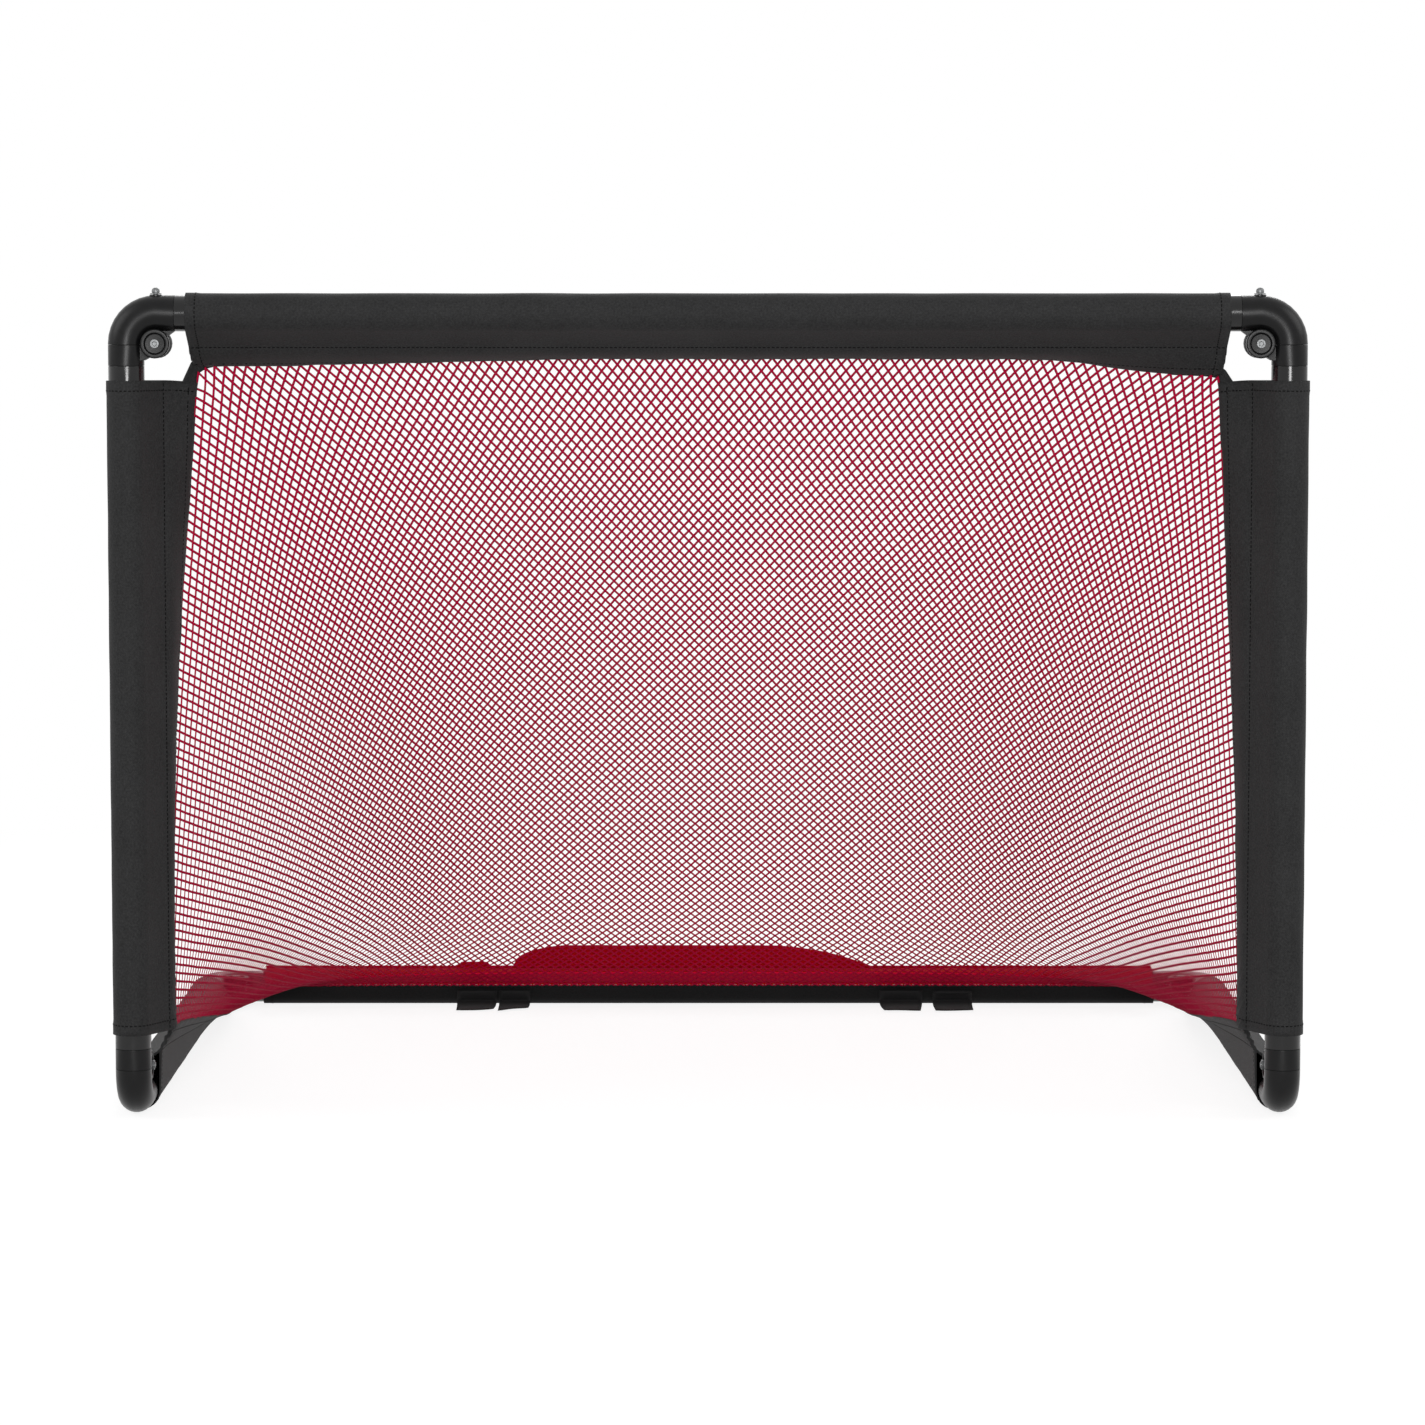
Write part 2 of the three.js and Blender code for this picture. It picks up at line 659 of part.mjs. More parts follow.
// Loose flap of the rear sleeve: low along the bar, standing up over one stretch.
function rearFlapGeometry() {
  const end = crossbarSleeveEnd;
  const base = groundAxis + sleeveRadius + runningGap;
  const low = base + rearFlapEndRise;
  const high = base + rearFlapRise;
  const along = (share) => mix(rearFlapRight, rearFlapLeft, share);
  const handles = rearFlapHandles;
  const shape = new THREE.Shape();
  shape.moveTo(-end, base);
  shape.lineTo(end, base);
  shape.lineTo(end, low);
  shape.lineTo(rearFlapRight, low);
  shape.bezierCurveTo(
    along(handles.rise), mix(low, high, handles.lift), along(handles.crest), high, along(rearFlapCrest), high,
  );
  shape.quadraticCurveTo(along(handles.fall), high, rearFlapLeft, low);
  shape.lineTo(-end, low);
  return new THREE.ExtrudeGeometry(shape, {
    depth: flapThickness, bevelEnabled: false, steps: 1, curveSegments: 8,
  }).rotateX(Math.PI / 2).translate(0, barDepth + flapThickness / 2, 0);
}

// Small patch that ties the crossbar flap's lower corner to the top of the post's flap.
function cornerPatchGeometry(side) {
  const end = side.sign < 0 ? 0 : 1;
  const half = flapThickness / 2;
  const flapDown = crossbarFlapDirection(end);
  const inward = new THREE.Vector3(-side.sign, 0, 0);
  const along = postFlapDirection(1, side);
  const upper = crossbarAxisPoint(end).addScaledVector(flapDown, flapReach + runningGap);
  const lower = postAxisPoint(1, side)
    .addScaledVector(along, flapReach - cornerPatchLap - cornerPatchFoot);
  lower.z += runningGap;
  const edge = (width, direction, across, origin) => ({
    outline: [
      new THREE.Vector2(0, -half),
      new THREE.Vector2(width, -half),
      new THREE.Vector2(width, half),
      new THREE.Vector2(0, half),
    ],
    placement: basis(direction, across, new THREE.Vector3().crossVectors(direction, across), origin),
  });
  return lofted([
    edge(cornerPatchWidth, inward, new THREE.Vector3().crossVectors(flapDown, inward), upper),
    edge(cornerPatchFoot, along, new THREE.Vector3().crossVectors(zAxis, along).negate(), lower),
  ]);
}

function addSleeves() {
  addMesh('crossbar_sleeve', lofted(shares(netCellsAcross).map((share) => (
    sleeveStation(crossbarAxisPoint(share), crossbarFlapDirection(share), xAxis)
  ))), blackCloth);
  const rearPocket = pocketGeometry(2 * crossbarSleeveEnd);
  addMesh('rear_bar_sleeve', rearPocket, blackCloth, new THREE.Matrix4()
    .makeTranslation(-crossbarSleeveEnd, barDepth, groundAxis).multiply(alongX));
  addMesh('rear_bar_flap', rearFlapGeometry(), redCloth);
  for (const side of sides) {
    const { name, sign } = side;
    addMesh(`${name}_post_sleeve`, lofted(shares(netCellsPerSide).map((share) => (
      sleeveStation(postAxisPoint(share, side), postFlapDirection(share, side), zAxis)
    ))), blackCloth);
    addMesh(`${name}_ground_sleeve`, pocketGeometry(groundSleeveRear - groundSleeveFront), blackCloth,
      new THREE.Matrix4().makeTranslation(sign * postX, groundSleeveFront, groundAxis).multiply(alongY));
    addMesh(`${name}_ground_flap`, groundFlapGeometry(side), blackCloth);
    addMesh(`${name}_corner_patch`, cornerPatchGeometry(side), blackCloth);
  }
}

// ---- straps ----

// A band that hugs the front of the rear sleeve and runs out along the floor.
function strapGeometry(width) {
  const inner = sleeveRadius + runningGap;
  const outer = inner + strapThickness;
  const floor = runningGap;
  const start = 180 - rearHemAngle + strapBelowHem;
  const arc = (radius) => Array.from({ length: strapArcSteps + 1 }, (_, i) => {
    const angle = mix(start, strapLeaveAngle, i / strapArcSteps) * degrees;
    return new THREE.Vector2(radius * Math.cos(angle), groundAxis + radius * Math.sin(angle));
  });
  const outline = [
    ...arc(outer).filter((point) => point.y > floor + strapThickness),
    new THREE.Vector2(-outer - strapToe, floor + strapThickness),
    new THREE.Vector2(-outer - strapTail, floor + strapThickness),
    new THREE.Vector2(-outer - strapTail, floor),
    new THREE.Vector2(-sleeveRadius * Math.SQRT1_2, floor),
    ...arc(inner).filter((point) => point.y > floor).reverse(),
  ];
  return prism(outline, -width / 2, width / 2);
}

function addStraps() {
  for (const { name, centre, width } of strapWraps) {
    const placement = new THREE.Matrix4().makeTranslation(centre, barDepth, 0)
      .multiply(basis(yAxis, zAxis, xAxis, new THREE.Vector3()));
    addMesh(name, strapGeometry(width), blackWebbing, placement);
  }
}

// ---- netting ----
// The sheet is laid out flat as a band of diamonds from the crossbar to the rear bar, with a
// triangular ear on each side that fills the goal's side. A knot is at column k and row l, where
// k + l is even; the band spans columns 0 to 2 * netCellsAcross.

const netRows = 2 * netCellsPerSide;
const netColumns = 2 * netCellsAcross;
const earWidth = (row) => Math.min(row, netRows - row);
const isKnot = (k, l) => (
  (k + l) % 2 === 0 && l >= 0 && l <= netRows && k >= -earWidth(l) && k <= netColumns + earWidth(l)
);
const knotKey = (k, l) => `${k},${l}`;

function hemKnot(axisPoint, direction, reach) {
  return axisPoint.clone().addScaledVector(direction, reach + runningGap + strandWidth / 2);
}

// Where a knot starts before the sheet relaxes; hems stay there. Both halves are laid out on the
// left, each with its own side's flaps.
function startOfKnot(k, l, side) {
  const asLeft = { ...side, sign: -1 };
  const flapDown = (share) => crossbarFlapDirection(side.sign < 0 ? share : 1 - share);
  const postHem = (j) => hemKnot(
    postAxisPoint(j / netCellsPerSide, asLeft), postFlapDirection(j / netCellsPerSide, asLeft), flapReach,
  );
  const crossbarHem = (share) => (
    hemKnot(crossbarAxisPoint(share), flapDown(share), flapReach + crossbarHemSlack)
  );
  const topCorner = crossbarHem(0).lerp(postHem(netCellsPerSide), 0.5);
  topCorner.x += netCornerInset;
  const hemLean = rearHemAngle * degrees;
  const hemDirection = new THREE.Vector3(0, -Math.cos(hemLean), Math.sin(hemLean));
  const rearHem = (x) => hemKnot(new THREE.Vector3(x, barDepth, groundAxis), hemDirection, sleeveRadius);
  const rearCorner = rearHem(-crossbarSleeveEnd);
  const down = l / netRows;
  if (k >= 0) {
    const share = k / netColumns;
    const upper = k === 0 ? topCorner : crossbarHem(share);
    const lower = rearHem(mix(-crossbarSleeveEnd, crossbarSleeveEnd, share));
    return upper.clone().lerp(lower, down);
  }
  const back = (k + l) / 2;
  const up = (k - l) / 2 + netCellsPerSide;
  const groundHem = (i) => hemKnot(
    groundAxisPoint(i / netCellsPerSide, asLeft),
    groundFlapDirection(i / netCellsPerSide, asLeft),
    groundFlapReach(i / netCellsPerSide) + groundHemSlack,
  );
  if (back === 0) return postHem(up);
  if (up === 0) return groundHem(back);
  const foldLine = (share) => topCorner.clone().lerp(rearCorner, share);
  const byRow = postHem(up).lerp(foldLine(1 - up / netCellsPerSide), back / (netCellsPerSide - up));
  const byColumn = groundHem(back).lerp(foldLine(back / netCellsPerSide), up / (netCellsPerSide - back));
  return byRow.lerp(byColumn, back / (back + up));
}

function layNet() {
  const knots = new Map();
  for (let l = 0; l <= netRows; l += 1) {
    for (let k = -earWidth(l); k <= netColumns + earWidth(l); k += 1) {
      if (!isKnot(k, l)) continue;
      const side = k > netCellsAcross ? rightSide : leftSide;
      const point = startOfKnot(side === rightSide ? netColumns - k : k, l, side);
      point.x *= -side.sign;
      const onHem = l === 0 || l === netRows || k === -earWidth(l) || k === netColumns + earWidth(l);
      knots.set(knotKey(k, l), { k, l, point, onHem });
    }
  }
  return knots;
}

const strandSteps = [[1, 1], [1, -1], [-1, -1], [-1, 1]];

// Every free knot settles between its four neighbours, a little below them.
function relaxNet(knots) {
  const free = [...knots.values()].filter((knot) => !knot.onHem);
  for (let step = 0; step < netRelaxSteps; step += 1) {
    for (const knot of free) {
      const mean = new THREE.Vector3();
      for (const [dk, dl] of strandSteps) mean.add(knots.get(knotKey(knot.k + dk, knot.l + dl)).point);
      knot.point.copy(mean.multiplyScalar(0.25));
      knot.point.z = Math.max(knot.point.z - netDroop / netRelaxSteps, netFloorGap);
    }
  }
}

// Faces of the flat layout, counter-clockwise: every mesh of the net, then its outside.
function netFaces() {
  const faces = [];
  for (let l = 0; l <= netRows; l += 1) {
    for (let k = -netCellsPerSide; k <= netColumns + netCellsPerSide; k += 1) {
      if ((k + l) % 2 === 0) continue;
      const around = [[k - 1, l], [k, l - 1], [k + 1, l], [k, l + 1]].filter(([a, b]) => isKnot(a, b));
      const halfMesh = around.length === 3 && (l === 0 || l === netRows);
      if (around.length === 4 || halfMesh) faces.push(around.map(([a, b]) => knotKey(a, b)));
    }
  }
  const outside = [];
  for (let k = 0; k < netColumns; k += 2) outside.push(knotKey(k, 0));
  for (let l = 0; l < netRows; l += 1) outside.push(knotKey(netColumns + earWidth(l), l));
  for (let k = netColumns; k > 0; k -= 2) outside.push(knotKey(k, netRows));
  for (let l = netRows; l > 0; l -= 1) outside.push(knotKey(-earWidth(l), l));
  return [...faces, outside.reverse()];
}

function knotNormals(knots) {
  const normals = new Map();
  for (const [key, { k, l, point }] of knots) {
    // The mean of the neighbours there are, or the knot itself beside an edge of the sheet.
    const near = (steps) => {
      const found = steps.map(([dk, dl]) => knots.get(knotKey(k + dk, l + dl))).filter(Boolean);
      if (found.length === 0) return point;
      return found.reduce((sum, knot) => sum.add(knot.point), new THREE.Vector3()).divideScalar(found.length);
    };
    const right = near([[1, 1], [1, -1], [2, 0]]);
    const left = near([[-1, -1], [-1, 1], [-2, 0]]);
    const lower = near([[1, 1], [-1, 1], [0, 2]]);
    const upper = near([[1, -1], [-1, -1], [0, -2]]);
    const across = right.clone().sub(left);
    const down = lower.clone().sub(upper);
    normals.set(key, new THREE.Vector3().crossVectors(across, down).normalize());
  }
  return normals;
}

// Each face is drawn in by half a strand, and the strips between the faces are the strands.
function netGeometry() {
  const knots = layNet();
  relaxNet(knots);
  const normals = knotNormals(knots);
  const positions = [];
  const triangles = [];
  const cornerOf = new Map();
  const cornersAt = new Map();
  const faces = netFaces();
  faces.forEach((face, f) => face.forEach((key, i) => {
    const { point } = knots.get(key);
    const normal = normals.get(key);
    const before = knots.get(face.at(i - 1)).point;
    const after = knots.get(face[(i + 1) % face.length]).point;
    const sideOf = (direction) => new THREE.Vector3().crossVectors(normal, direction).normalize();
    const inA = sideOf(point.clone().sub(before));
    const inB = sideOf(after.clone().sub(point));
    const mitre = inA.clone().add(inB).multiplyScalar(strandWidth / 2 / (1 + inA.dot(inB)));
    const corner = positions.length / 3;
    positions.push(...point.clone().add(mitre).addScaledVector(normal, strandThickness / 2).toArray());
    positions.push(...point.clone().add(mitre).addScaledVector(normal, -strandThickness / 2).toArray());
    cornerOf.set(`${f}:${key}`, corner);
    if (!cornersAt.has(key)) cornersAt.set(key, []);
    const direction = mitre.clone().projectOnPlane(normal);
    cornersAt.get(key).push({ corner, direction });
  }));
  const both = (a, b, c) => triangles.push(a, b, c, a + 1, c + 1, b + 1);
  const faceLeftOf = new Map();
  faces.forEach((face, f) => face.forEach((key, i) => {
    faceLeftOf.set(`${key}>${face[(i + 1) % face.length]}`, f);
  }));
  for (const [edge, f] of faceLeftOf) {
    const [a, b] = edge.split('>');
    const [leftA, leftB] = [cornerOf.get(`${f}:${a}`), cornerOf.get(`${f}:${b}`)];
    triangles.push(leftA, leftB, leftB + 1, leftA, leftB + 1, leftA + 1);
    if (a > b) continue;
    const g = faceLeftOf.get(`${b}>${a}`);
    const [rightA, rightB] = [cornerOf.get(`${g}:${a}`), cornerOf.get(`${g}:${b}`)];
    both(rightA, rightB, leftB);
    both(rightA, leftB, leftA);
  }
  for (const [key, corners] of cornersAt) {
    if (corners.length < 3) continue;
    const normal = normals.get(key);
    const first = corners[0].direction.clone().normalize();
    const second = new THREE.Vector3().crossVectors(normal, first);
    const angle = ({ direction }) => Math.atan2(direction.dot(second), direction.dot(first));
    corners.sort((a, b) => angle(a) - angle(b));
    for (let i = 1; i + 1 < corners.length; i += 1) {
      both(corners[0].corner, corners[i].corner, corners[i + 1].corner);
    }
  }
  if (signedVolume({ positions, triangles }) < 0) {
    for (let i = 0; i < triangles.length; i += 3) {
      [triangles[i + 1], triangles[i + 2]] = [triangles[i + 2], triangles[i + 1]];
    }
  }
  return geometryFrom(positions, triangles);
}

addTubes();
addCorners();
addSleeves();
addStraps();
addMesh('net', netGeometry(), redNetting);

// The origin goes to the middle of the footprint.
const footprint = new THREE.Box3().setFromObject(goal).getCenter(new THREE.Vector3());
goal.position.set(-footprint.x, -footprint.y, 0);

export default goal;
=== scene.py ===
import bpy
import json
import math
import numpy as np
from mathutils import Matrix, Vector


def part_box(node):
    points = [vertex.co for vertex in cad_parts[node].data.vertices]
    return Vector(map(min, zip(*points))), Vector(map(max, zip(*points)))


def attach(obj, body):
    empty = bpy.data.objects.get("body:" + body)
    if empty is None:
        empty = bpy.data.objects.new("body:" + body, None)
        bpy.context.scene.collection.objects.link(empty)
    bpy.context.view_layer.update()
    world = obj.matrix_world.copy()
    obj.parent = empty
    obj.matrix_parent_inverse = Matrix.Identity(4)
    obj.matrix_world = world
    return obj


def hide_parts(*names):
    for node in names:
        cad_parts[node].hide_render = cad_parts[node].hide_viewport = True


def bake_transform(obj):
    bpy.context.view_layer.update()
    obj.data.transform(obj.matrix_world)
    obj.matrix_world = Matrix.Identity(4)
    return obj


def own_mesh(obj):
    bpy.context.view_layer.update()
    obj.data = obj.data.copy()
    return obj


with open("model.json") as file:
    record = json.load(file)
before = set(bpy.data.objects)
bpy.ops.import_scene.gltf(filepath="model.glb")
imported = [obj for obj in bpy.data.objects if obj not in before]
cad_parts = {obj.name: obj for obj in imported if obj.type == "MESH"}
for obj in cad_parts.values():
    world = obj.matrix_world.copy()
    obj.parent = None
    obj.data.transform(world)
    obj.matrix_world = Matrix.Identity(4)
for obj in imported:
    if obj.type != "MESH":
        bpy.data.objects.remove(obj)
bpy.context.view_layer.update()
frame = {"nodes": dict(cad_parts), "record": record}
nodes = frame["nodes"]


# Shader helpers: arithmetic on a Wire adds Math nodes, Finish.node adds the others and Finish.ends the output
class Wire:
    def __init__(self, tree, socket):
        self.tree = tree
        self.socket = socket

    def maths(self, operation, first, second):
        node = self.tree.nodes.new("ShaderNodeMath")
        node.operation = operation
        for slot, value in zip(node.inputs, (first, second)):
            if isinstance(value, Wire):
                self.tree.links.new(value.socket, slot)
            elif value is not None:
                slot.default_value = value
        return Wire(self.tree, node.outputs[0])

    def __add__(self, other):
        return self.maths("ADD", self, other)

    def __radd__(self, other):
        return self.maths("ADD", other, self)

    def __sub__(self, other):
        return self.maths("SUBTRACT", self, other)

    def __rsub__(self, other):
        return self.maths("SUBTRACT", other, self)

    def __mul__(self, other):
        return self.maths("MULTIPLY", self, other)

    def sine(self):
        return self.maths("SINE", self, None)

    def largest(self, other):
        return self.maths("MAXIMUM", self, other)


class Finish:
    def __init__(self, holder):
        holder.use_nodes = True
        self.holder = holder
        self.tree = holder.node_tree
        self.tree.nodes.clear()

    def node(self, kind, settings=None, values=None, output=0):
        made = self.tree.nodes.new("ShaderNode" + kind)
        for setting, value in (settings or {}).items():
            if setting == "stops":
                for element, (position, colour) in zip(made.color_ramp.elements, value):
                    element.position = position
                    element.color = (*colour, 1)
            else:
                setattr(made, setting, value)
        for slot, value in (values or {}).items():
            socket = made.inputs[slot]
            if isinstance(value, Wire):
                self.tree.links.new(value.socket, socket)
            elif isinstance(value, tuple) and socket.type == "RGBA":
                socket.default_value = (*value, 1)
            else:
                socket.default_value = value
        return Wire(self.tree, made.outputs[output])

    def blendColours(self, share, first, second):
        return self.node("Mix", {"data_type": "RGBA"}, {"Factor": share, 6: first, 7: second}, 2)

    def ends(self, kind, shader):
        out = self.tree.nodes.new("ShaderNodeOutput" + kind)
        self.tree.links.new(shader.socket, out.inputs["Surface"])
        return self.holder

    def surface(self, values):
        return self.ends("Material", self.node("BsdfPrincipled", None, values))

    def whiteTo(self):  # what the camera, mirrors and clear things see, rather than what lights the goal
        seen = self.node("LightPath", output="Is Camera Ray")
        mirrored = self.node("LightPath", output="Is Glossy Ray")
        return seen.largest(mirrored).largest(self.node("LightPath", output="Is Transmission Ray"))


def newFinish(name):
    return Finish(bpy.data.materials.new(name))


# Camera: the place, tilt and lens that put the frame's corners where the photograph has them
view = {"x": 0.00458, "distance": 4.9036, "height": 0.8472, "tilt": 5.083, "lens": 124.15}
frontY = sum((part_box(n)[0].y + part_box(n)[1].y) / 4 for n in ("left_post_tube", "right_post_tube"))
lens = bpy.data.cameras.new("camera")
lens.lens = view["lens"]
lens.sensor_width = 36
lens.clip_end = 60
camera = bpy.data.objects.new("camera", lens)
camera.location = (view["x"], frontY - view["distance"], view["height"])
camera.rotation_euler = (math.radians(90 - view["tilt"]), 0, 0)
bpy.context.scene.collection.objects.link(camera)
bpy.context.scene.camera = camera
bpy.context.scene.view_settings.view_transform = "Standard"
print("camera placed")

# Studio: a wide soft lamp behind the camera, weaker ones round the goal, white floor and surroundings
studio = {
    "floorSize": 14, "floorWhite": 0.85, "floorShade": 0.26, "shadeFrom": 1.3, "shadeTo": 2.4,
    "bounce": 0.5, "ambient": 0.34,
    "lamps": [
        ("key lamp", (0.05, -5.9, 1.35), (0, 0, 0.45), 1.9, 1.9, 215),
        ("left lamp", (-3.4, -1.0, 2.3), (0, 0, 0.4), 2.6, 2.4, 34),
        ("right lamp", (3.4, -0.8, 2.4), (0, 0, 0.4), 2.6, 2.4, 34),
        ("back lamp", (0.3, 3.6, 2.6), (0, 0, 0.4), 2.8, 2.2, 60),
    ],
}
floorMesh = bpy.data.meshes.new("floor")
half = studio["floorSize"] / 2
floorCorners = [(-half, -half, 0), (half, -half, 0), (half, half, 0), (-half, half, 0)]
floorMesh.from_pydata(floorCorners, [], [(0, 1, 2, 3)])
floor = bpy.data.objects.new("floor", floorMesh)
bpy.context.scene.collection.objects.link(floor)


def paperFloor():  # white, with the goal's shadow near it
    f = newFinish("pale floor")
    place = f.node("TexCoord", output="Object")
    away = f.node("VectorMath", {"operation": "LENGTH"}, {0: place}, "Value")
    reach = {"Value": away, "From Min": studio["shadeFrom"], "From Max": studio["shadeTo"]}
    plain = f.node("MapRange", {"interpolation_type": "SMOOTHSTEP"}, reach)
    shaded = f.node("BsdfDiffuse", None, {"Color": (studio["floorShade"],) * 3})
    glow = f.node("Emission", None, {"Color": (studio["floorWhite"],) * 3, "Strength": 1.0})
    white = f.node("Emission", None, {"Color": (1.0, 1.0, 1.0), "Strength": 1.0})
    near = f.node("AddShader", None, {0: glow, 1: shaded})
    shown = f.node("MixShader", None, {0: plain, 1: near, 2: white})
    bounce = f.node("BsdfDiffuse", None, {"Color": (studio["bounce"],) * 3})
    return f.ends("Material", f.node("MixShader", None, {0: f.whiteTo(), 1: bounce, 2: shown}))


def surroundings():
    f = Finish(bpy.data.worlds.new("surroundings"))
    bright = f.whiteTo()
    level = bright + (1 - bright) * studio["ambient"]
    return f.ends("World", f.node("Background", None, {"Color": (1.0, 1.0, 1.0), "Strength": level}))


floorMesh.materials.append(paperFloor())
bpy.context.scene.world = surroundings()
for name, place, target, width, height, power in studio["lamps"]:
    lamp = bpy.data.lights.new(name, "AREA")
    lamp.shape = "ELLIPSE"
    lamp.size, lamp.size_y, lamp.energy = width, height, power
    stand = bpy.data.objects.new(name, lamp)
    stand.location = place
    stand.rotation_euler = (stand.location - Vector(target)).to_track_quat("Z", "Y").to_euler()
    bpy.context.scene.collection.objects.link(stand)
print("studio built")


# Finishes
def glossyPaint():
    f = newFinish("gloss black powder coat")
    place = f.node("TexCoord", output="Object")
    peel = f.node("TexNoise", None, {"Vector": place, "Scale": 900.0, "Detail": 2.0})
    dust = f.node("TexNoise", None, {"Vector": place, "Scale": 35.0, "Detail": 6.0})
    scuff = f.node("ValToRGB", {"stops": [(0.56, (0.0,) * 3), (0.72, (1.0,) * 3)]}, {"Fac": dust})
    colour = f.blendColours(scuff * 0.5, (0.0022, 0.0022, 0.0024), (0.0055, 0.0055, 0.0058))
    bump = f.node("Bump", None, {"Strength": 0.05, "Distance": 0.0002, "Height": peel})
    return f.surface({"Base Color": colour, "Roughness": 0.15 + scuff * 0.1, "Specular IOR Level": 0.4,
                      "Normal": bump})


def satinNylon():
    f = newFinish("satin black moulded nylon")
    place = f.node("TexCoord", output="Object")
    grain = f.node("TexNoise", None, {"Vector": place, "Scale": 1500.0, "Detail": 3.0})
    flow = f.node("TexNoise", None, {"Vector": place, "Scale": 60.0, "Detail": 4.0, "Distortion": 1.5})
    colour = f.blendColours(flow, (0.0030, 0.0030, 0.0032), (0.0062, 0.0062, 0.0065))
    bump = f.node("Bump", None, {"Strength": 0.12, "Distance": 0.0002, "Height": grain})
    return f.surface({"Base Color": colour, "Roughness": 0.27 + flow * 0.1, "Specular IOR Level": 0.19,
                      "Normal": bump})


def brightZinc():
    f = newFinish("zinc-plated fastener")
    place = f.node("TexCoord", output="Object")
    stain = f.node("TexNoise", None, {"Vector": place, "Scale": 420.0, "Detail": 4.0})
    colour = f.blendColours(stain, (0.11, 0.114, 0.118), (0.22, 0.225, 0.225))
    bump = f.node("Bump", None, {"Strength": 0.1, "Distance": 0.0001, "Height": stain})
    return f.surface({"Base Color": colour, "Metallic": 1.0, "Roughness": 0.4 + stain * 0.2, "Normal": bump})


def wovenCloth(name, dark, pale, threads=1100.0, shine=0.14):  # threads to the metre
    f = newFinish(name)
    place = f.node("Attribute", {"attribute_name": "clothPlace"}, output="Vector")
    along = f.node("SeparateXYZ", None, {"Vector": place}, 0) * threads
    across = f.node("SeparateXYZ", None, {"Vector": place}, 1) * threads
    weave = (along * math.pi).sine() * (across * math.pi).sine() * 0.5 + 0.5
    slub = f.node("TexNoise", None, {"Vector": place, "Scale": 160.0, "Detail": 5.0})
    cloud = f.node("TexNoise", None, {"Vector": place, "Scale": 14.0, "Detail": 3.0})
    fine = f.node("TexNoise", None, {"Vector": place, "Scale": 520.0, "Detail": 2.0})
    uneven = weave * 0.15 + fine * 0.45 + slub * 0.25 + cloud * 0.15
    colour = f.blendColours((uneven - 0.5) * 2.6 + 0.5, dark, pale)
    bump = f.node("Bump", None, {"Strength": 0.5, "Distance": 0.0003, "Height": weave + slub * 0.6})
    return f.surface({"Base Color": colour, "Roughness": 0.62 + slub * 0.2, "Sheen Weight": 0.04,
                      "Sheen Roughness": 0.5, "Specular IOR Level": shine, "Normal": bump})


def twistedTwine(name, dark, pale, scale=1400.0, shine=0.2):
    f = newFinish(name)
    place = f.node("TexCoord", output="Object")
    fibre = f.node("TexNoise", None, {"Vector": place, "Scale": scale, "Detail": 3.0})
    cloud = f.node("TexNoise", None, {"Vector": place, "Scale": 22.0, "Detail": 3.0})
    colour = f.blendColours(fibre * 0.7 + cloud * 0.3, dark, pale)
    bump = f.node("Bump", None, {"Strength": 0.35, "Distance": 0.0002, "Height": fibre})
    return f.surface({"Base Color": colour, "Roughness": 0.5 + fibre * 0.2, "Specular IOR Level": shine,
                      "Normal": bump})


slotFinish = {
    "tube_black": glossyPaint(),
    "moulding_black": satinNylon(),
    "fastener_steel": brightZinc(),
    "sleeve_black": wovenCloth("woven black polyester", (0.005, 0.005, 0.0051), (0.034, 0.034, 0.0346)),
    "flap_red": wovenCloth("dark red polyester", (0.24, 0.0005, 0.0018), (0.42, 0.0018, 0.0045), shine=0.03),
    "strap_black": wovenCloth("hook and loop webbing", (0.004, 0.004, 0.0042), (0.012, 0.012, 0.0125), 700.0),
    "netting_red": twistedTwine("crimson netting twine", (0.29, 0.0008, 0.022), (0.50, 0.0025, 0.046),
                                shine=0.06),
}
hemTapeFinish = wovenCloth("crimson hem tape", (0.40, 0.0010, 0.020), (0.68, 0.0032, 0.044), 800.0, 0.03)
# Black sewing thread, darker than the cloth: partly the thread's own black, partly painted shade of the
# grooves that the stitches pull into the cloth
threadWithGrooveShade = twistedTwine("black sewing thread, painted groove shade", (0.0015,) * 3, (0.004,) * 3, 2200.0, 0.05)
# The rear bar's sleeve: the same black polyester as the other sleeves, painted darker as the shade that falls
# on the rear bar
paintedShadeCloth = wovenCloth("rear bar polyester, painted shade", (0.002, 0.002, 0.0021), (0.011, 0.011, 0.0112), shine=0.08)
paleThread = twistedTwine("pink sewing thread", (0.20, 0.055, 0.06), (0.36, 0.12, 0.13), 2200.0)

# Rigid CAD nodes keep their meshes; modifiers join their faces, break the edges and shade them round
edges = {"weld": 1e-5, "width": 0.0004, "segments": 2, "angle": 38}


def shadedByAngle():
    tree = bpy.data.node_groups.new("shade by angle", "GeometryNodeTree")
    for way in ("INPUT", "OUTPUT"):
        tree.interface.new_socket("Geometry", in_out=way, socket_type="NodeSocketGeometry")
    start, end = tree.nodes.new("NodeGroupInput"), tree.nodes.new("NodeGroupOutput")
    bare = tree.nodes.new("GeometryNodeRemoveAttribute")
    bare.inputs["Name"].default_value = "custom_normal"
    angle = tree.nodes.new("GeometryNodeInputMeshEdgeAngle")
    sharp = tree.nodes.new("FunctionNodeCompare")
    sharp.operation = "GREATER_THAN"
    sharp.inputs[1].default_value = math.radians(edges["angle"])
    faces = tree.nodes.new("GeometryNodeSetShadeSmooth")
    creases = tree.nodes.new("GeometryNodeSetShadeSmooth")
    creases.domain = "EDGE"
    creases.inputs["Shade Smooth"].default_value = False
    tree.links.new(start.outputs[0], bare.inputs["Geometry"])
    tree.links.new(bare.outputs[0], faces.inputs["Geometry"])
    tree.links.new(faces.outputs[0], creases.inputs["Geometry"])
    tree.links.new(angle.outputs["Unsigned Angle"], sharp.inputs[0])
    tree.links.new(sharp.outputs[0], creases.inputs["Selection"])
    tree.links.new(creases.outputs[0], end.inputs[0])
    return tree


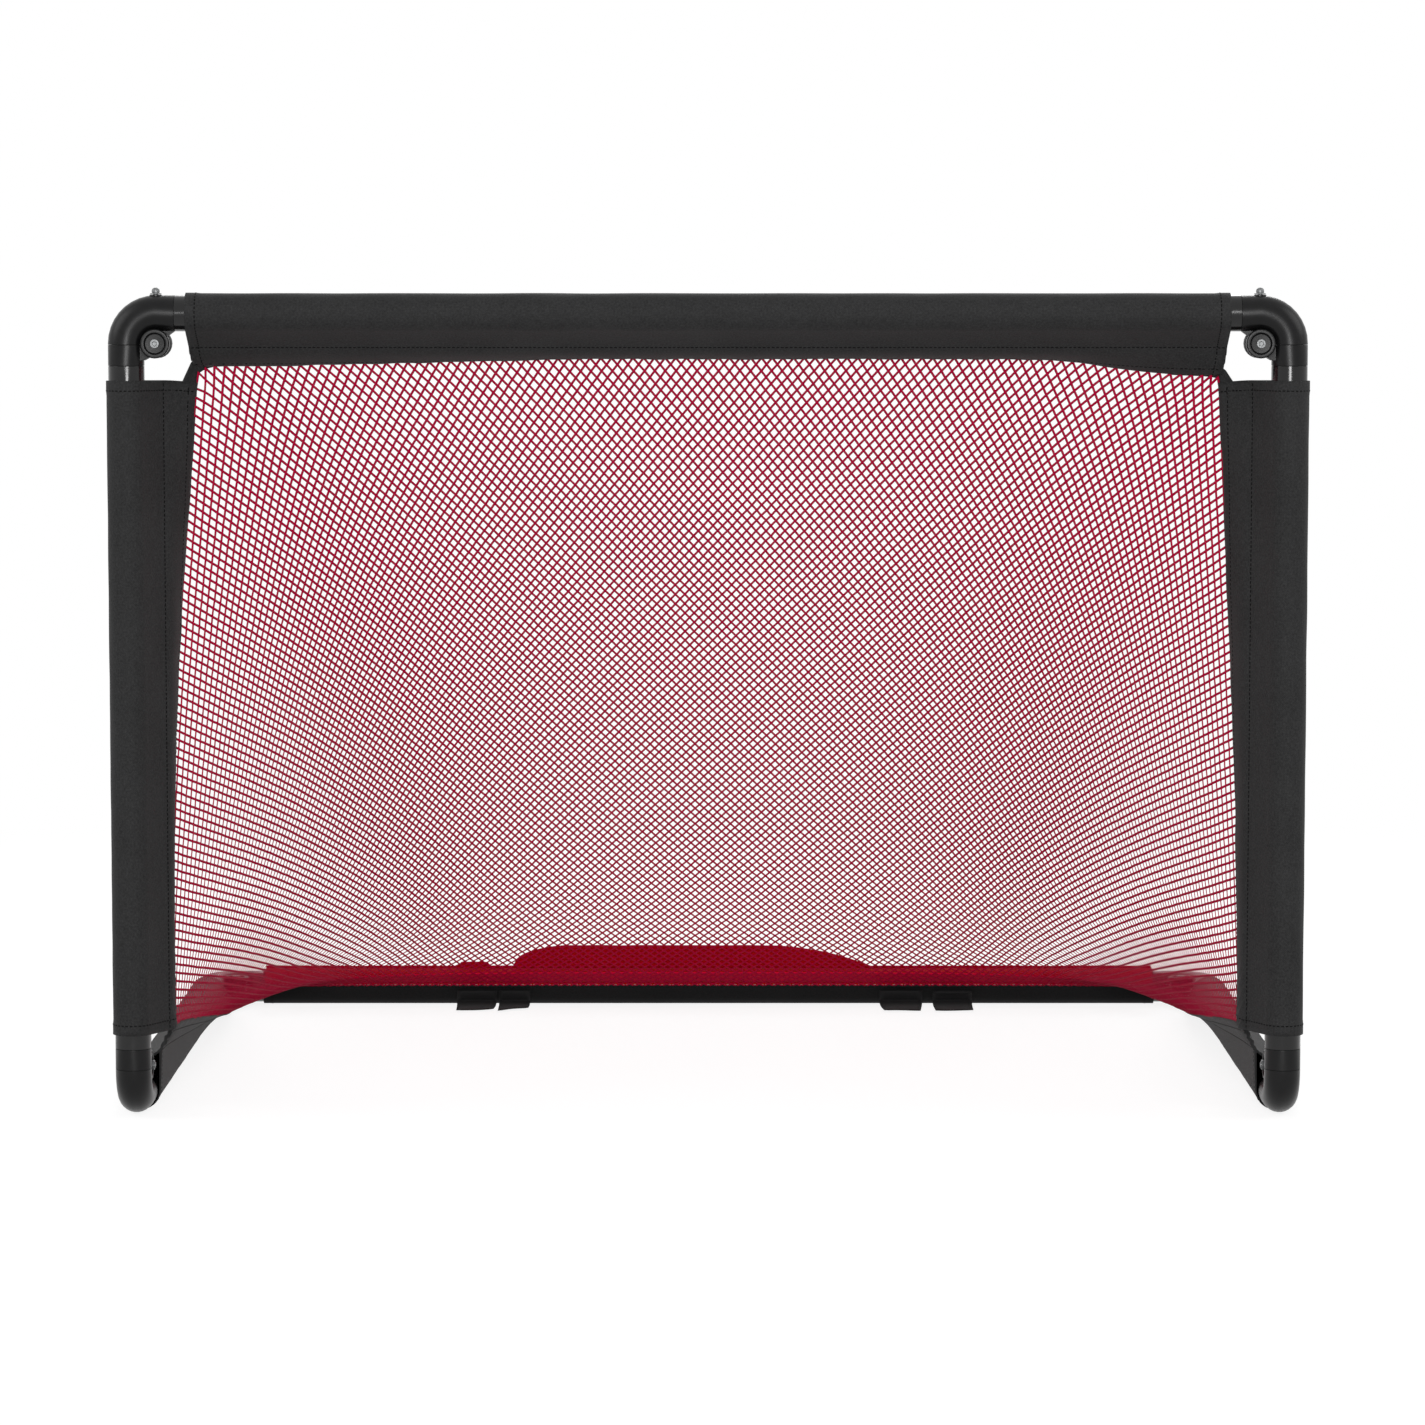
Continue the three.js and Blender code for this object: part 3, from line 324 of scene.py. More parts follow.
shading = shadedByAngle()
for part in frame["record"]["subparts"]:
    held = nodes[part["node"]]
    held.data.materials.clear()
    held.data.materials.append(slotFinish[part["material_slot"]])
    if part["material_slot"] not in ("tube_black", "moulding_black", "fastener_steel"):
        continue
    weld = held.modifiers.new("joined faces", "WELD")
    weld.merge_threshold = edges["weld"]
    bevel = held.modifiers.new("broken edges", "BEVEL")
    bevel.limit_method = "ANGLE"
    bevel.angle_limit = math.radians(edges["angle"])
    bevel.width, bevel.segments = edges["width"], edges["segments"]
    held.modifiers.new("round shading", "NODES").node_group = shading
    held.modifiers.new("flat faces", "WEIGHTED_NORMAL").keep_sharp = True
print("finishes made")


# The goal's own measures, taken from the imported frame; y = 0 at the posts
def middle(node):
    low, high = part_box(node)
    return (np.array(low) + np.array(high)) / 2


postX = float(middle("right_post_tube")[0])
groundZ = float(middle("rear_bar_tube")[2])
crossbarZ = float(middle("crossbar_tube")[2])
rearY = float(middle("rear_bar_tube")[1]) - frontY
crossbarEnd = float(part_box("rear_bar_sleeve")[1].x)
postTop = float(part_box("left_post_sleeve")[1].z)
postBottom = float(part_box("left_post_sleeve")[0].z)
groundFront = float(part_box("left_ground_sleeve")[0].y) - frontY
groundRear = float(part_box("left_ground_sleeve")[1].y) - frontY
atFront = np.array([0, frontY, 0])

cloth = {
    "sleeveRadius": 0.020, "flapReach": 0.075, "leanMiddle": 54.5,
    "groundLeanFront": 27, "groundLeanRear": 118, "groundTurnPower": 1.5,
    "groundReachFront": 0.072, "groundReachRear": 0.031, "groundTaperPower": 1.35, "rearHemAngle": 8,
}
sides = [
    {"name": "left", "sign": -1, "barLean": 47, "barStretch": 0.46,
     "topLean": 32, "bottomLean": 70.5, "leanPower": 1.9},
    {"name": "right", "sign": 1, "barLean": 37, "barStretch": 0.22,
     "topLean": 32, "bottomLean": 62.5, "leanPower": 1.6},
]
groundBend = {  # numbers for the ground hem's share of the base's turn, where the base folds up past the posts
    "pinBehind": 0.030, "leastRun": 0.001, "held": 0.022, "from": 0.3, "over": 0.5, "leastFlap": 0.004,
}


def mix(a, b, share):
    return a + (b - a) * share


def smooth(value):
    v = np.clip(value, 0, 1)
    return v * v * v * (v * (v * 6 - 15) + 10)


def unit(vectors):
    return vectors / np.maximum(np.linalg.norm(vectors, axis=-1, keepdims=True), 1e-12)


def points(x, y, z):
    return np.stack(np.broadcast_arrays(x, y, z), axis=-1).astype(float)


def crossbarAxis(share):
    return points(mix(-crossbarEnd, crossbarEnd, share), 0, crossbarZ)


def postAxis(share, side):
    return points(side["sign"] * postX, 0, mix(postBottom, postTop, share))


def groundAxis(share, side):
    return points(side["sign"] * postX, mix(groundFront, groundRear, share), groundZ)


# Directions from a bar's axis to its flap's free edge, by the share of the way along the bar
def crossbarFlap(share):
    atLeft = np.asarray(share) < 0.5
    end = np.where(atLeft, sides[0]["barLean"], sides[1]["barLean"])
    stretch = np.where(atLeft, sides[0]["barStretch"], sides[1]["barStretch"])
    fromCorner = smooth(np.minimum(share, 1 - np.asarray(share)) / stretch)
    lean = np.radians(mix(end, cloth["leanMiddle"], fromCorner))
    return points(0, np.sin(lean), -np.cos(lean))


def postFlap(share, side):
    lean = np.radians(mix(side["bottomLean"], side["topLean"], share ** side["leanPower"]))
    return points(-side["sign"] * np.cos(lean), np.sin(lean), 0)


def groundFlap(share, side):
    turned = share ** cloth["groundTurnPower"]
    lean = np.radians(mix(cloth["groundLeanFront"], cloth["groundLeanRear"], turned))
    return points(-side["sign"] * np.sin(lean), 0, np.cos(lean))


def groundReach(share):
    return mix(cloth["groundReachRear"], cloth["groundReachFront"], (1 - share) ** cloth["groundTaperPower"])


def groundHemTurn(share):  # the ground hem's share of the base's turn; its front end stays with the post
    run = np.maximum(mix(groundFront, groundRear, share) - groundBend["pinBehind"], groundBend["leastRun"])
    lag = np.clip(groundBend["held"] / run, 0, 1)
    return 1 - lag * (1 - smooth((share - groundBend["from"]) / groundBend["over"]))


def groundClothTurn(places, side):  # share of the base's turn for each point: all of it on the pocket, the net hem's share at the flap's edge
    share = np.clip((places[:, 1] - frontY - groundFront) / (groundRear - groundFront), 0, 1)
    away = np.hypot(places[:, 0] - side["sign"] * postX, places[:, 2] - groundZ)
    radius = cloth["sleeveRadius"]
    outward = smooth((away - radius) / np.maximum(groundReach(share) - radius, groundBend["leastFlap"]))
    return mix(1, groundHemTurn(share), outward)


def bendWith(piece, turns):
    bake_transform(piece)


def addPiece(name, vertices, faces, body, slotName, replaced=(), finish=None, soft=True):
    mesh = bpy.data.meshes.new(name)
    mesh.from_pydata(np.asarray(vertices).tolist(), [], [tuple(f) for f in faces])
    mesh.materials.append(finish or slotFinish[slotName])
    mesh.polygons.foreach_set("use_smooth", [soft] * len(mesh.polygons))
    mesh.update()
    piece = bpy.data.objects.new(name, mesh)
    bpy.context.scene.collection.objects.link(piece)
    if replaced:
        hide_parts(*replaced)
    if body:
        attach(piece, body)
    return piece


def layCloth(piece, places):  # the weave follows the cloth: along it, and across it
    attribute = piece.data.attributes.new("clothPlace", "FLOAT_VECTOR", "POINT")
    attribute.data.foreach_set("vector", np.asarray(places, np.float32).ravel())


def wave(place, seed, shortest=0.035, longest=0.28, count=6):  # smooth unevenness along a bar, from -1 to 1
    chance = np.random.default_rng(seed)
    total = np.zeros(np.shape(place))
    for i in range(count):
        length = shortest * (longest / shortest) ** chance.random()
        total = total + np.sin(2 * math.pi * (place / length + chance.random())) * (length / longest) ** 0.4
    return total / count


def runsOf(grid, axis):  # lengths along a grid of points
    start = grid[:1] if axis == 0 else grid[:, :1]
    return np.linalg.norm(np.diff(grid, axis=axis, prepend=start), axis=2).cumsum(axis=axis)


def addCloth(name, body, grid, thickness, slotName, replaced=(), finish=None):
    # a sheet with two faces and a rounded rim, through a grid of points
    n, m = grid.shape[:2]
    normal = unit(np.cross(np.gradient(grid, axis=0), np.gradient(grid, axis=1)))
    rimmed = np.ones((n, m, 1))
    rimmed[[0, -1]] = rimmed[:, [0, -1]] = 0.35  # thinner at the rim, so that it looks rounded
    lift = normal * rimmed * thickness / 2
    index = np.arange(n * m).reshape(n, m)
    front = np.stack([index[:-1, :-1], index[1:, :-1], index[1:, 1:], index[:-1, 1:]], axis=-1).reshape(-1, 4)
    loop = np.concatenate([index[:, 0], index[-1, 1:], index[-2::-1, -1], index[0, -2::-1]])
    rim = np.stack([loop[:-1], loop[:-1] + n * m, loop[1:] + n * m, loop[1:]], axis=1)
    faces = np.concatenate([front, front[:, ::-1] + n * m, rim]).tolist()
    vertices = np.concatenate([(grid + lift).reshape(-1, 3), (grid - lift).reshape(-1, 3)])
    piece = addPiece(name, vertices, faces, body, slotName, replaced, finish)
    down, along = runsOf(grid, 0), runsOf(grid, 1)
    layCloth(piece, np.tile(np.stack([down, along, 0 * along], axis=2).reshape(-1, 3), (2, 1)))
    size = (float(down[-1].max()), float(along[:, -1].max()))
    area = min(float(down[-1].mean() * along[:, -1].mean()), size[0] * size[1])
    return piece


# Stitches: a row of short raised threads along a track on the cloth
stitch = {
    "pitch": 0.0045, "length": 0.0031, "width": 0.0013, "rise": 0.00030, "sunk": 0.0001, "lowest": 0.0001,
}


def stitchRow(track, outward):
    run = np.concatenate([[0], np.linalg.norm(np.diff(track, axis=0), axis=1).cumsum()])
    starts = np.arange(stitch["pitch"] / 2, run[-1] - stitch["length"], stitch["pitch"])

    def at(values, where):
        return np.stack([np.interp(where, run, values[:, c]) for c in range(3)], axis=1)

    first, last = at(track, starts), at(track, starts + stitch["length"])
    up = unit(at(outward, starts + stitch["length"] / 2))
    aside = unit(np.cross(up, last - first)) * stitch["width"] / 2
    low, high = up * stitch["sunk"], up * stitch["rise"]
    crown = [mix(first, last, 0.2) + high, mix(first, last, 0.8) + high]
    corners = [first - aside - low, last - aside - low, last + aside - low, first + aside - low,
               crown[0] - aside / 2, crown[1] - aside / 2, crown[1] + aside / 2, crown[0] + aside / 2]
    box = np.array([[3, 2, 1, 0], [4, 5, 6, 7], [0, 1, 5, 4], [1, 2, 6, 5], [2, 3, 7, 6], [3, 0, 4, 7]])
    faces = box[None] + (8 * np.arange(len(starts)))[:, None, None]
    return np.stack(corners, axis=1).reshape(-1, 3), faces.reshape(-1, 4)


# stitches default to the black thread whose extra darkness is painted groove shade
def addStitches(name, body, rows, finish=threadWithGrooveShade, slotName="sleeve_black"):
    vertices, faces, count = [], [], 0
    for track, outward in rows:
        places, boxes = stitchRow(track, outward)
        places[:, 2] = np.maximum(places[:, 2], stitch["lowest"])
        vertices.append(places)
        faces.append(boxes + count)
        count += len(places)
    return addPiece(name, np.concatenate(vertices), np.concatenate(faces).tolist(), body, slotName,
                    finish=finish, soft=False)


# Sleeves: cloth round a bar, closed by a seam, whose two plies run on as a flap to the netting
sleeve = {
    "thickness": 0.0009, "flapHalf": 0.0009, "hemHalf": 0.0013, "hemWidth": 0.011, "hemOverlap": 0.003,
    "seamReach": 0.039, "seamLean": 33, "spacing": 0.005, "arcPoints": 30, "flapPoints": 12,
    "endHem": 0.013, "endRise": 0.0005, "slack": 0.02, "flutter": 0.0016, "endPull": 0.003,
    "foldHeight": 0.0016, "foldLength": 0.015, "foldReach": 0.055, "hemStitch": 0.0085, "endStitch": 0.0095,
    "bend": 0.4, "hemEdge": 0.002, "edgeThin": 0.4, "puckerHeight": 0.0004, "foldSlant": 0.05,
    "fullWidth": 0.02, "pullLength": 0.03, "seamTuck": 0.003, "seamGap": 0.0003, "seamStitch": 0.04,
    "outsideLowest": 0.0002, "insideLowest": 0.0007,
}


def sweepSleeve(axis, bar, seamWay, edgeWay, seam, reach, place, seed):
    # one ring of points for every station along the bar: one ply of the flap, the pocket, the other ply
    n = len(axis)

    def column(values):
        return np.broadcast_to(np.asarray(values, float), (n,))[:, None, None]

    bar = np.broadcast_to(bar, (n, 3))[:, None]
    seam, reach = column(seam), column(reach)
    x = seamWay[:, None]
    y = np.cross(bar, x)
    t = np.linspace(0, 1, sleeve["flapPoints"])[None, :, None]
    seamPoint, edgePoint = axis[:, None] + x * seam, axis[:, None] + edgeWay[:, None] * reach
    bend = seamPoint + x * (reach - seam) * sleeve["bend"]
    line = (1 - t) ** 2 * seamPoint + 2 * t * (1 - t) * bend + t ** 2 * edgePoint
    normal = np.cross(bar, unit(np.gradient(line, axis=1)))
    hem = smooth((sleeve["hemWidth"] - (1 - t) * (reach - seam)) / sleeve["hemEdge"] + 0.5)
    thickness = mix(sleeve["flapHalf"], sleeve["hemHalf"], hem) * np.where(t > 0.999, sleeve["edgeThin"], 1)
    fromEnd = column(np.minimum(place - place[0], place[-1] - place))
    inward = column(np.where(place < place[-1] / 2, 1, -1))
    endHem = sleeve["endRise"] * (1 - smooth((fromEnd - sleeve["endHem"]) / sleeve["hemEdge"] + 0.5))
    sway = sleeve["flutter"] * column(wave(place, seed)) * t ** 1.5
    puckers = sleeve["puckerHeight"] * column(wave(place, seed + 5, 0.012, 0.03)) * np.sin(t * math.pi)
    slant = fromEnd + sleeve["foldSlant"] * t
    slanted = np.sin(2 * math.pi * slant / sleeve["foldLength"]) * np.sin(t * math.pi)
    folds = sleeve["foldHeight"] * slanted * np.exp(-(fromEnd / sleeve["foldReach"]) ** 2)
    wide = np.clip((reach - seam) / sleeve["fullWidth"], 0, 1)
    line = line + normal * (sway + puckers + folds) * wide
    line = line + bar * inward * sleeve["endPull"] * t ** 2 * np.exp(-fromEnd / sleeve["pullLength"]) * wide
    upper, lower = line + normal * (thickness + endHem), line - normal * (thickness + endHem)
    radius = cloth["sleeveRadius"]
    meet = np.arccos(np.clip(radius / seam, 0, 1))
    turn = np.linspace(0, 1, sleeve["arcPoints"])[None, :, None]
    angle = meet + (2 * math.pi - 2 * meet) * turn
    ripple = wave(place[:, None] + 0.05 * np.sin(angle[:, :, 0] * 2), seed + 3, 0.04, 0.2)[:, :, None]
    loose = 1 + sleeve["slack"] * ripple
    outward = np.cos(angle) * x + np.sin(angle) * y
    pocket = axis[:, None] + outward * (radius * loose + endHem)
    lining = axis[:, None] + outward * (radius - sleeve["thickness"]) * np.minimum(loose, 1.02)
    fold = seamPoint - x * sleeve["seamTuck"]
    outside = np.concatenate([upper[:, ::-1], pocket, lower], axis=1)
    gap = y * sleeve["seamGap"]
    inside = np.concatenate([fold + gap, lining, fold - gap], axis=1)
    outside[..., 2] = np.maximum(outside[..., 2], sleeve["outsideLowest"])  # flat where it lies on the floor
    inside[..., 2] = np.maximum(inside[..., 2], sleeve["insideLowest"])
    return outside, inside


def sleeveFaces(n, ring, rim, flap):
    faces = []
    inner = n * ring
    for i in range(n - 1):
        for j in range(ring):
            k = (j + 1) % ring
            faces.append((i * ring + j, i * ring + k, (i + 1) * ring + k, (i + 1) * ring + j))
        for j in range(rim):
            k = (j + 1) % rim
            near, far = inner + i * rim, inner + (i + 1) * rim
            faces.append((near + k, near + j, far + j, far + k))
    for i, turned in ((0, False), (n - 1, True)):  # the cut ends, round the pocket and along the flap
        outer, lining = i * ring, inner + i * rim
        ends = [(outer + flap - 1, outer + ring - flap, lining + rim - 1, lining)]
        for j in range(rim - 1):
            ends.append((outer + flap - 1 + j, lining + j, lining + j + 1, outer + flap + j))
        for j in range(flap - 1):
            ends.append((outer + j, outer + ring - 1 - j, outer + ring - 2 - j, outer + j + 1))
        faces += [tuple(reversed(f)) for f in ends] if turned else ends
    return faces


def sleeveSeams(outside, axis, bar, seam, reach):  # rows beside the seam, along the hem and round the ends
    n, ring = outside.shape[:2]
    flap = sleeve["flapPoints"]
    rows = []
    width = np.broadcast_to(np.asarray(reach - seam, float), (n,))

    def ply(share, upper):
        at = (1 - share) * (flap - 1) if upper else ring - flap + share * (flap - 1)
        low = np.clip(np.floor(at).astype(int), 0, ring - 2)
        part = (at - low)[:, None]
        return outside[np.arange(n), low] * (1 - part) + outside[np.arange(n), low + 1] * part

    for share in (sleeve["seamStitch"] + 0 * width, 1 - sleeve["hemStitch"] / np.maximum(width, 1e-6)):
        used = share > 0.02
        if used.sum() < 8:
            continue
        upper, lower = ply(share, True)[used], ply(share, False)[used]
        rows += [(upper, unit(upper - lower)), (lower, unit(lower - upper))]
    step = max(1, round(sleeve["endStitch"] / float(np.linalg.norm(axis[1] - axis[0]))))
    for i in (step, n - 1 - step):
        loop = outside[i]
        outward = np.cross(unit(np.gradient(loop, axis=0)), bar)
        centre = loop[ring // 2] - axis[i]
        rows.append((loop, outward * np.sign(outward[ring // 2] @ centre)))
    return rows


def stations(length):
    return np.linspace(0, 1, max(8, int(length / sleeve["spacing"])) + 1)


def addSleeve(name, body, axis, bar, seamWay, edgeWay, seam, reach, length, seed, replaced,
              turns=None, finish=None):
    place = np.linspace(0, length, len(axis))
    outside, inside = sweepSleeve(axis, bar, seamWay, edgeWay, seam, reach, place, seed)
    n, ring, rim = len(axis), outside.shape[1], inside.shape[1]
    vertices = np.concatenate([outside.reshape(-1, 3), inside.reshape(-1, 3)])
    faces = sleeveFaces(n, ring, rim, sleeve["flapPoints"])
    piece = addPiece(name, vertices, faces, body, "sleeve_black", replaced, finish)
    places = []
    for part in (outside, inside):
        girth = np.broadcast_to(runsOf(part, 1)[n // 2], part.shape[:2])
        along = np.broadcast_to(place[:, None], girth.shape)
        places.append(np.stack([along, girth, 0 * girth], axis=2).reshape(-1, 3))
    layCloth(piece, np.concatenate(places))
    thread = addStitches(name + "_stitches", body, sleeveSeams(outside, axis, bar, seam, reach))
    if turns:
        for bent in (piece, thread):
            bendWith(bent, turns(np.array([v.co for v in bent.data.vertices])))
    flat = (float(length), float(runsOf(outside, 1)[:, -1].mean()))
    return piece


edgeReach = cloth["flapReach"] + sleeve["hemOverlap"]
seamLean = math.radians(sleeve["seamLean"])
share = stations(2 * crossbarEnd)
addSleeve(
    "crossbar_cloth", "front", crossbarAxis(share) + atFront, np.array([1.0, 0, 0]),
    points(0 * share, math.sin(seamLean), -math.cos(seamLean)), crossbarFlap(share),
    sleeve["seamReach"], edgeReach, 2 * crossbarEnd, 11, ("crossbar_sleeve",))
for side in sides:
    name = side["name"]
    share = stations(postTop - postBottom)
    seamWay = points(-side["sign"] * math.cos(seamLean) + 0 * share, math.sin(seamLean), 0)
    addSleeve(
        name + "_post_cloth", "front", postAxis(share, side) + atFront, np.array([0, 0, 1.0]), seamWay,
        postFlap(share, side), sleeve["seamReach"], edgeReach, postTop - postBottom, 20 + side["sign"],
        (name + "_post_sleeve",))
print("front sleeves made")

# Base sleeves: a taut panel on each side, and a close pocket on the rear bar with a welt for the netting
base = {
    "seamShare": 0.6, "leastSeam": 0.031, "hemOverlap": 0.0038, "rearSeam": 0.0213, "rearReach": 0.0242,
    "flapLow": 0.0042, "flapHigh": 0.0282, "flapFrom": -0.228, "flapTo": 0.189,
    "leftRun": 0.16, "rightRun": 0.32,
    "bumpRise": 0.0046, "bumpFrom": -0.294, "bumpTo": -0.254, "bumpEdge": 0.006, "ragged": 0.0008,
    "flapThickness": 0.0011, "endGap": 0.002,
    "hugRadius": 0.0208, "hugFrom": 171, "hugTo": 93, "hugLoose": 0.0004,
    "standGap": 0.0002, "standSway": 0.0022, "standBack": 0.0004, "stitchTurn": 4, "stitchLift": 0.0004,
    "squashKeep": 0.25,
}
for side in sides:
    name = side["name"]
    share = stations(groundRear - groundFront)
    way, reach = groundFlap(share, side), groundReach(share) + base["hemOverlap"]
    seam = np.maximum(reach * base["seamShare"], base["leastSeam"])
    addSleeve(
        name + "_ground_cloth", None, groundAxis(share, side) + atFront, np.array([0, 1.0, 0]), way, way,
        seam, reach, groundRear - groundFront, 30 + side["sign"],
        (name + "_ground_sleeve", name + "_ground_flap"),
        lambda places, side=side: groundClothTurn(places, side))

rearBar = np.array([0, frontY + rearY, groundZ])
hemAngle = math.radians(cloth["rearHemAngle"])
hemWay = np.array([0, -math.cos(hemAngle), math.sin(hemAngle)])
share = stations(2 * crossbarEnd)
rearAxis = points(mix(-crossbarEnd, crossbarEnd, share), 0, 0) + rearBar
# The rear bar's sleeve takes the darker copy of the black polyester, whose extra darkness is painted shade
addSleeve(
    "rear_bar_cloth", "base", rearAxis, np.array([1.0, 0, 0]), points(0 * share, hemWay[1], hemWay[2]),
    points(0 * share, hemWay[1], hemWay[2]), base["rearSeam"], base["rearReach"], 2 * crossbarEnd, 41,
    ("rear_bar_sleeve",), finish=paintedShadeCloth)


def roundRear(x, angle, radius):
    return points(x, radius * np.cos(np.radians(angle)), radius * np.sin(np.radians(angle))) + rearBar


def flapRise(x):  # height of the red flap above the rear sleeve
    share = (x - base["flapFrom"]) / (base["flapTo"] - base["flapFrom"])
    inside = (share > 0) & (share < 1)
    leftRun, rightRun = np.clip(share / base["leftRun"], 0, 1), np.clip((1 - share) / base["rightRun"], 0, 1)
    hump = np.where(inside, np.sqrt(1 - (1 - leftRun) ** 2) * (1 - (1 - rightRun) ** 2.2), 0)
    edge = base["bumpEdge"]
    bump = base["bumpRise"] * smooth((x - base["bumpFrom"]) / edge) * smooth((base["bumpTo"] - x) / edge)
    uneven = base["ragged"] * wave(x, 51, 0.03, 0.12)
    return mix(base["flapLow"], base["flapHigh"], hump) + bump + uneven


x = np.linspace(-crossbarEnd + base["endGap"], crossbarEnd - base["endGap"], 241)[:, None]
hugAngles = np.linspace(base["hugFrom"], base["hugTo"], 14)[None]
hug = roundRear(x, hugAngles + 0 * x, base["hugRadius"] + base["hugLoose"] * (1 + wave(x, 52, 0.02, 0.07)))
addCloth("rear_flap_foot", "base", hug, base["flapThickness"], "flap_red")
up = np.linspace(0, 1, 9)[None]
stand = roundRear(x, 90 + 0 * up, cloth["sleeveRadius"] + base["standGap"] + flapRise(x) * up)
stand[..., 1] += base["standSway"] * wave(x, 53, 0.05, 0.2) * up ** 1.5 - base["standBack"]
standing = addCloth("rear_flap_cloth", "base", stand, base["flapThickness"], "flap_red", ("rear_bar_flap",))
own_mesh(standing)
stitchRadius = base["hugRadius"] + base["flapThickness"] / 2 + base["stitchLift"]
footStitch = roundRear(x[:, 0], base["hugFrom"] - base["stitchTurn"], stitchRadius)
footOutward = footStitch - points(x[:, 0], 0, 0) - rearBar
addStitches("rear_flap_stitches", "base", [(footStitch, footOutward)], paleThread, "flap_red")
print("base sleeves made")

# Straps: webbing that hugs the front of the rear sleeve and lies out along the floor
strap = {
    "thickness": 0.0015, "hug": 0.0215, "from": 186, "to": 222, "floor": 0.0011, "lift": 0.0025,
    "tailGap": 0.001, "fallPower": 9, "outFrom": 0.4, "rollAt": 0.06, "rollWidth": 0.05,
    "rows": {
        "left_strap_loop_tab": {"taper": 0.92, "skew": 0.012, "roll": 0.0},
        "left_strap_hook_tab": {"taper": 0.96, "skew": 0.024, "roll": 0.0},
        "right_strap_hook_tab": {"taper": 0.84, "skew": 0.004, "roll": 0.0},
        "right_strap_loop_tab": {"taper": 0.95, "skew": 0.004, "roll": 0.0016},
    },
}
for seed, (node, made) in enumerate(strap["rows"].items()):
    low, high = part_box(node)
    centre, width, tail = (low.x + high.x) / 2, high.x - low.x, rearBar[1] - low.y
    angles = np.radians(np.linspace(strap["from"], strap["to"], 14))
    arc = points(0, strap["hug"] * np.cos(angles), groundZ + strap["hug"] * np.sin(angles))
    run = np.linspace(0, 1, 22)[1:]
    leave = arc[-1]
    fall = (leave[2] - strap["floor"]) * (1 - run) ** strap["fallPower"]
    path = points(0, mix(leave[1], -tail + strap["tailGap"], run), strap["floor"] + fall)
    path = np.concatenate([arc, path])
    across = np.linspace(-0.5, 0.5, 9)[:, None]
    along = np.linspace(0, 1, len(path))[None]
    out = np.clip((along - strap["outFrom"]) / (1 - strap["outFrom"]), 0, 1)
    grid = path[None] + points(centre + width * across * mix(1, made["taper"], out), frontY + rearY, 0)
    grid[..., 1] += made["skew"] * (across + 0.5) * out
    uneven = 0.5 + 0.5 * wave(across * 0.05 + out * 0.04, 60 + seed, 0.05, 0.12)
    grid[..., 2] += strap["lift"] * out ** 2 * uneven
    grid[..., 1] -= made["roll"] * np.exp(-((along - strap["rollAt"]) / strap["rollWidth"]) ** 2)
    addCloth(node.replace("_tab", "_webbing"), "base", grid, strap["thickness"], "strap_black", (node,))
print("straps made")

# Netting: a sheet of diamonds laid between the hems, settled, then given real twine
netting = {
    "cellsAcross": 96, "cellsPerSide": 74, "settleSteps": 1420, "unevenness": 0.00012,
    "droop": 0.040, "sideDroop": 0.6, "draw": 0.045,
    "cornerDraw": 0.11, "cornerHeight": 0.12, "cornerFade": 1.5,
    "twineWidth": 0.00255, "twineDepth": 0.0010,
    "knotWidth": 0.0029, "knotLength": 0.0042, "knotDepth": 0.0018,
    "hemInset": 0.0023, "crossbarSlack": 0.0005, "groundSlack": 0.0008, "floorGap": 0.0035,
    "cornerInset": 0.004, "cornerRound": 0.032, "cornerPower": 2.5,
    "backFlat": (0.2595, 1.04), "sideFlat": (0.656, 0.672), "sideShare": 0.5,
    "tapeFrom": 1.4, "tapeTo": 5.55, "tapeBehind": 0.0012, "tapeThickness": 0.0008, "tapeSteps": 10,
}
perSide = netting["cellsPerSide"]
rows, columns = 2 * perSide, 2 * netting["cellsAcross"]


def hemPoint(axisPoint, direction, reach):
    return axisPoint + direction * (np.asarray(reach)[..., None] + netting["hemInset"])


def rearHem(x):
    return hemPoint(points(x, rearY, groundZ), hemWay, cloth["sleeveRadius"])


def layNet(k, l, side):  # where the knots at columns k and rows l of one half start, laid out as on the left
    asLeft = {**side, "sign": -1}

    def barHem(share):
        seen = share if side["sign"] < 0 else 1 - share
        reach = cloth["flapReach"] + netting["crossbarSlack"]
        return hemPoint(crossbarAxis(share), crossbarFlap(seen), reach)

    def postHem(share):
        return hemPoint(postAxis(share, asLeft), postFlap(share, asLeft), cloth["flapReach"])

    corner = barHem(np.array(0.0))
    topCorner = (corner + postHem(np.array(1.0))) / 2 + [netting["cornerInset"], 0, 0]
    share = np.clip(k / columns, 0, 1)
    near = np.clip(1 - share * 2 * crossbarEnd / netting["cornerRound"], 0, 1) ** netting["cornerPower"]
    upper = barHem(share) + near[:, None] * (topCorner - corner)
    down = (l / rows)[:, None]
    backPanel = upper * (1 - down) + rearHem(mix(-crossbarEnd, crossbarEnd, share)) * down
    back = np.clip((k + l) / 2, 0, perSide)
    up = np.clip((k - l) / 2 + perSide, 0, perSide)
    postEdge = postHem(up / perSide)
    groundShare = back / perSide
    groundEdge = hemPoint(groundAxis(groundShare, asLeft), groundFlap(groundShare, asLeft),
                          groundReach(groundShare) + netting["groundSlack"])
    rearCorner = rearHem(-crossbarEnd)

    def foldLine(s):
        return topCorner + (rearCorner - topCorner) * s[:, None]

    rowShare = (back / np.maximum(perSide - up, 1e-9))[:, None]
    columnShare = (up / np.maximum(perSide - back, 1e-9))[:, None]
    byRow = postEdge + (foldLine(1 - up / perSide) - postEdge) * rowShare
    byColumn = groundEdge + (foldLine(groundShare) - groundEdge) * columnShare
    ear = byRow + (byColumn - byRow) * (back / np.maximum(back + up, 1e-9))[:, None]
    ear = np.where((back == 0)[:, None], postEdge, np.where((up == 0)[:, None], groundEdge, ear))
    return np.where((k >= 0)[:, None], backPanel, ear)


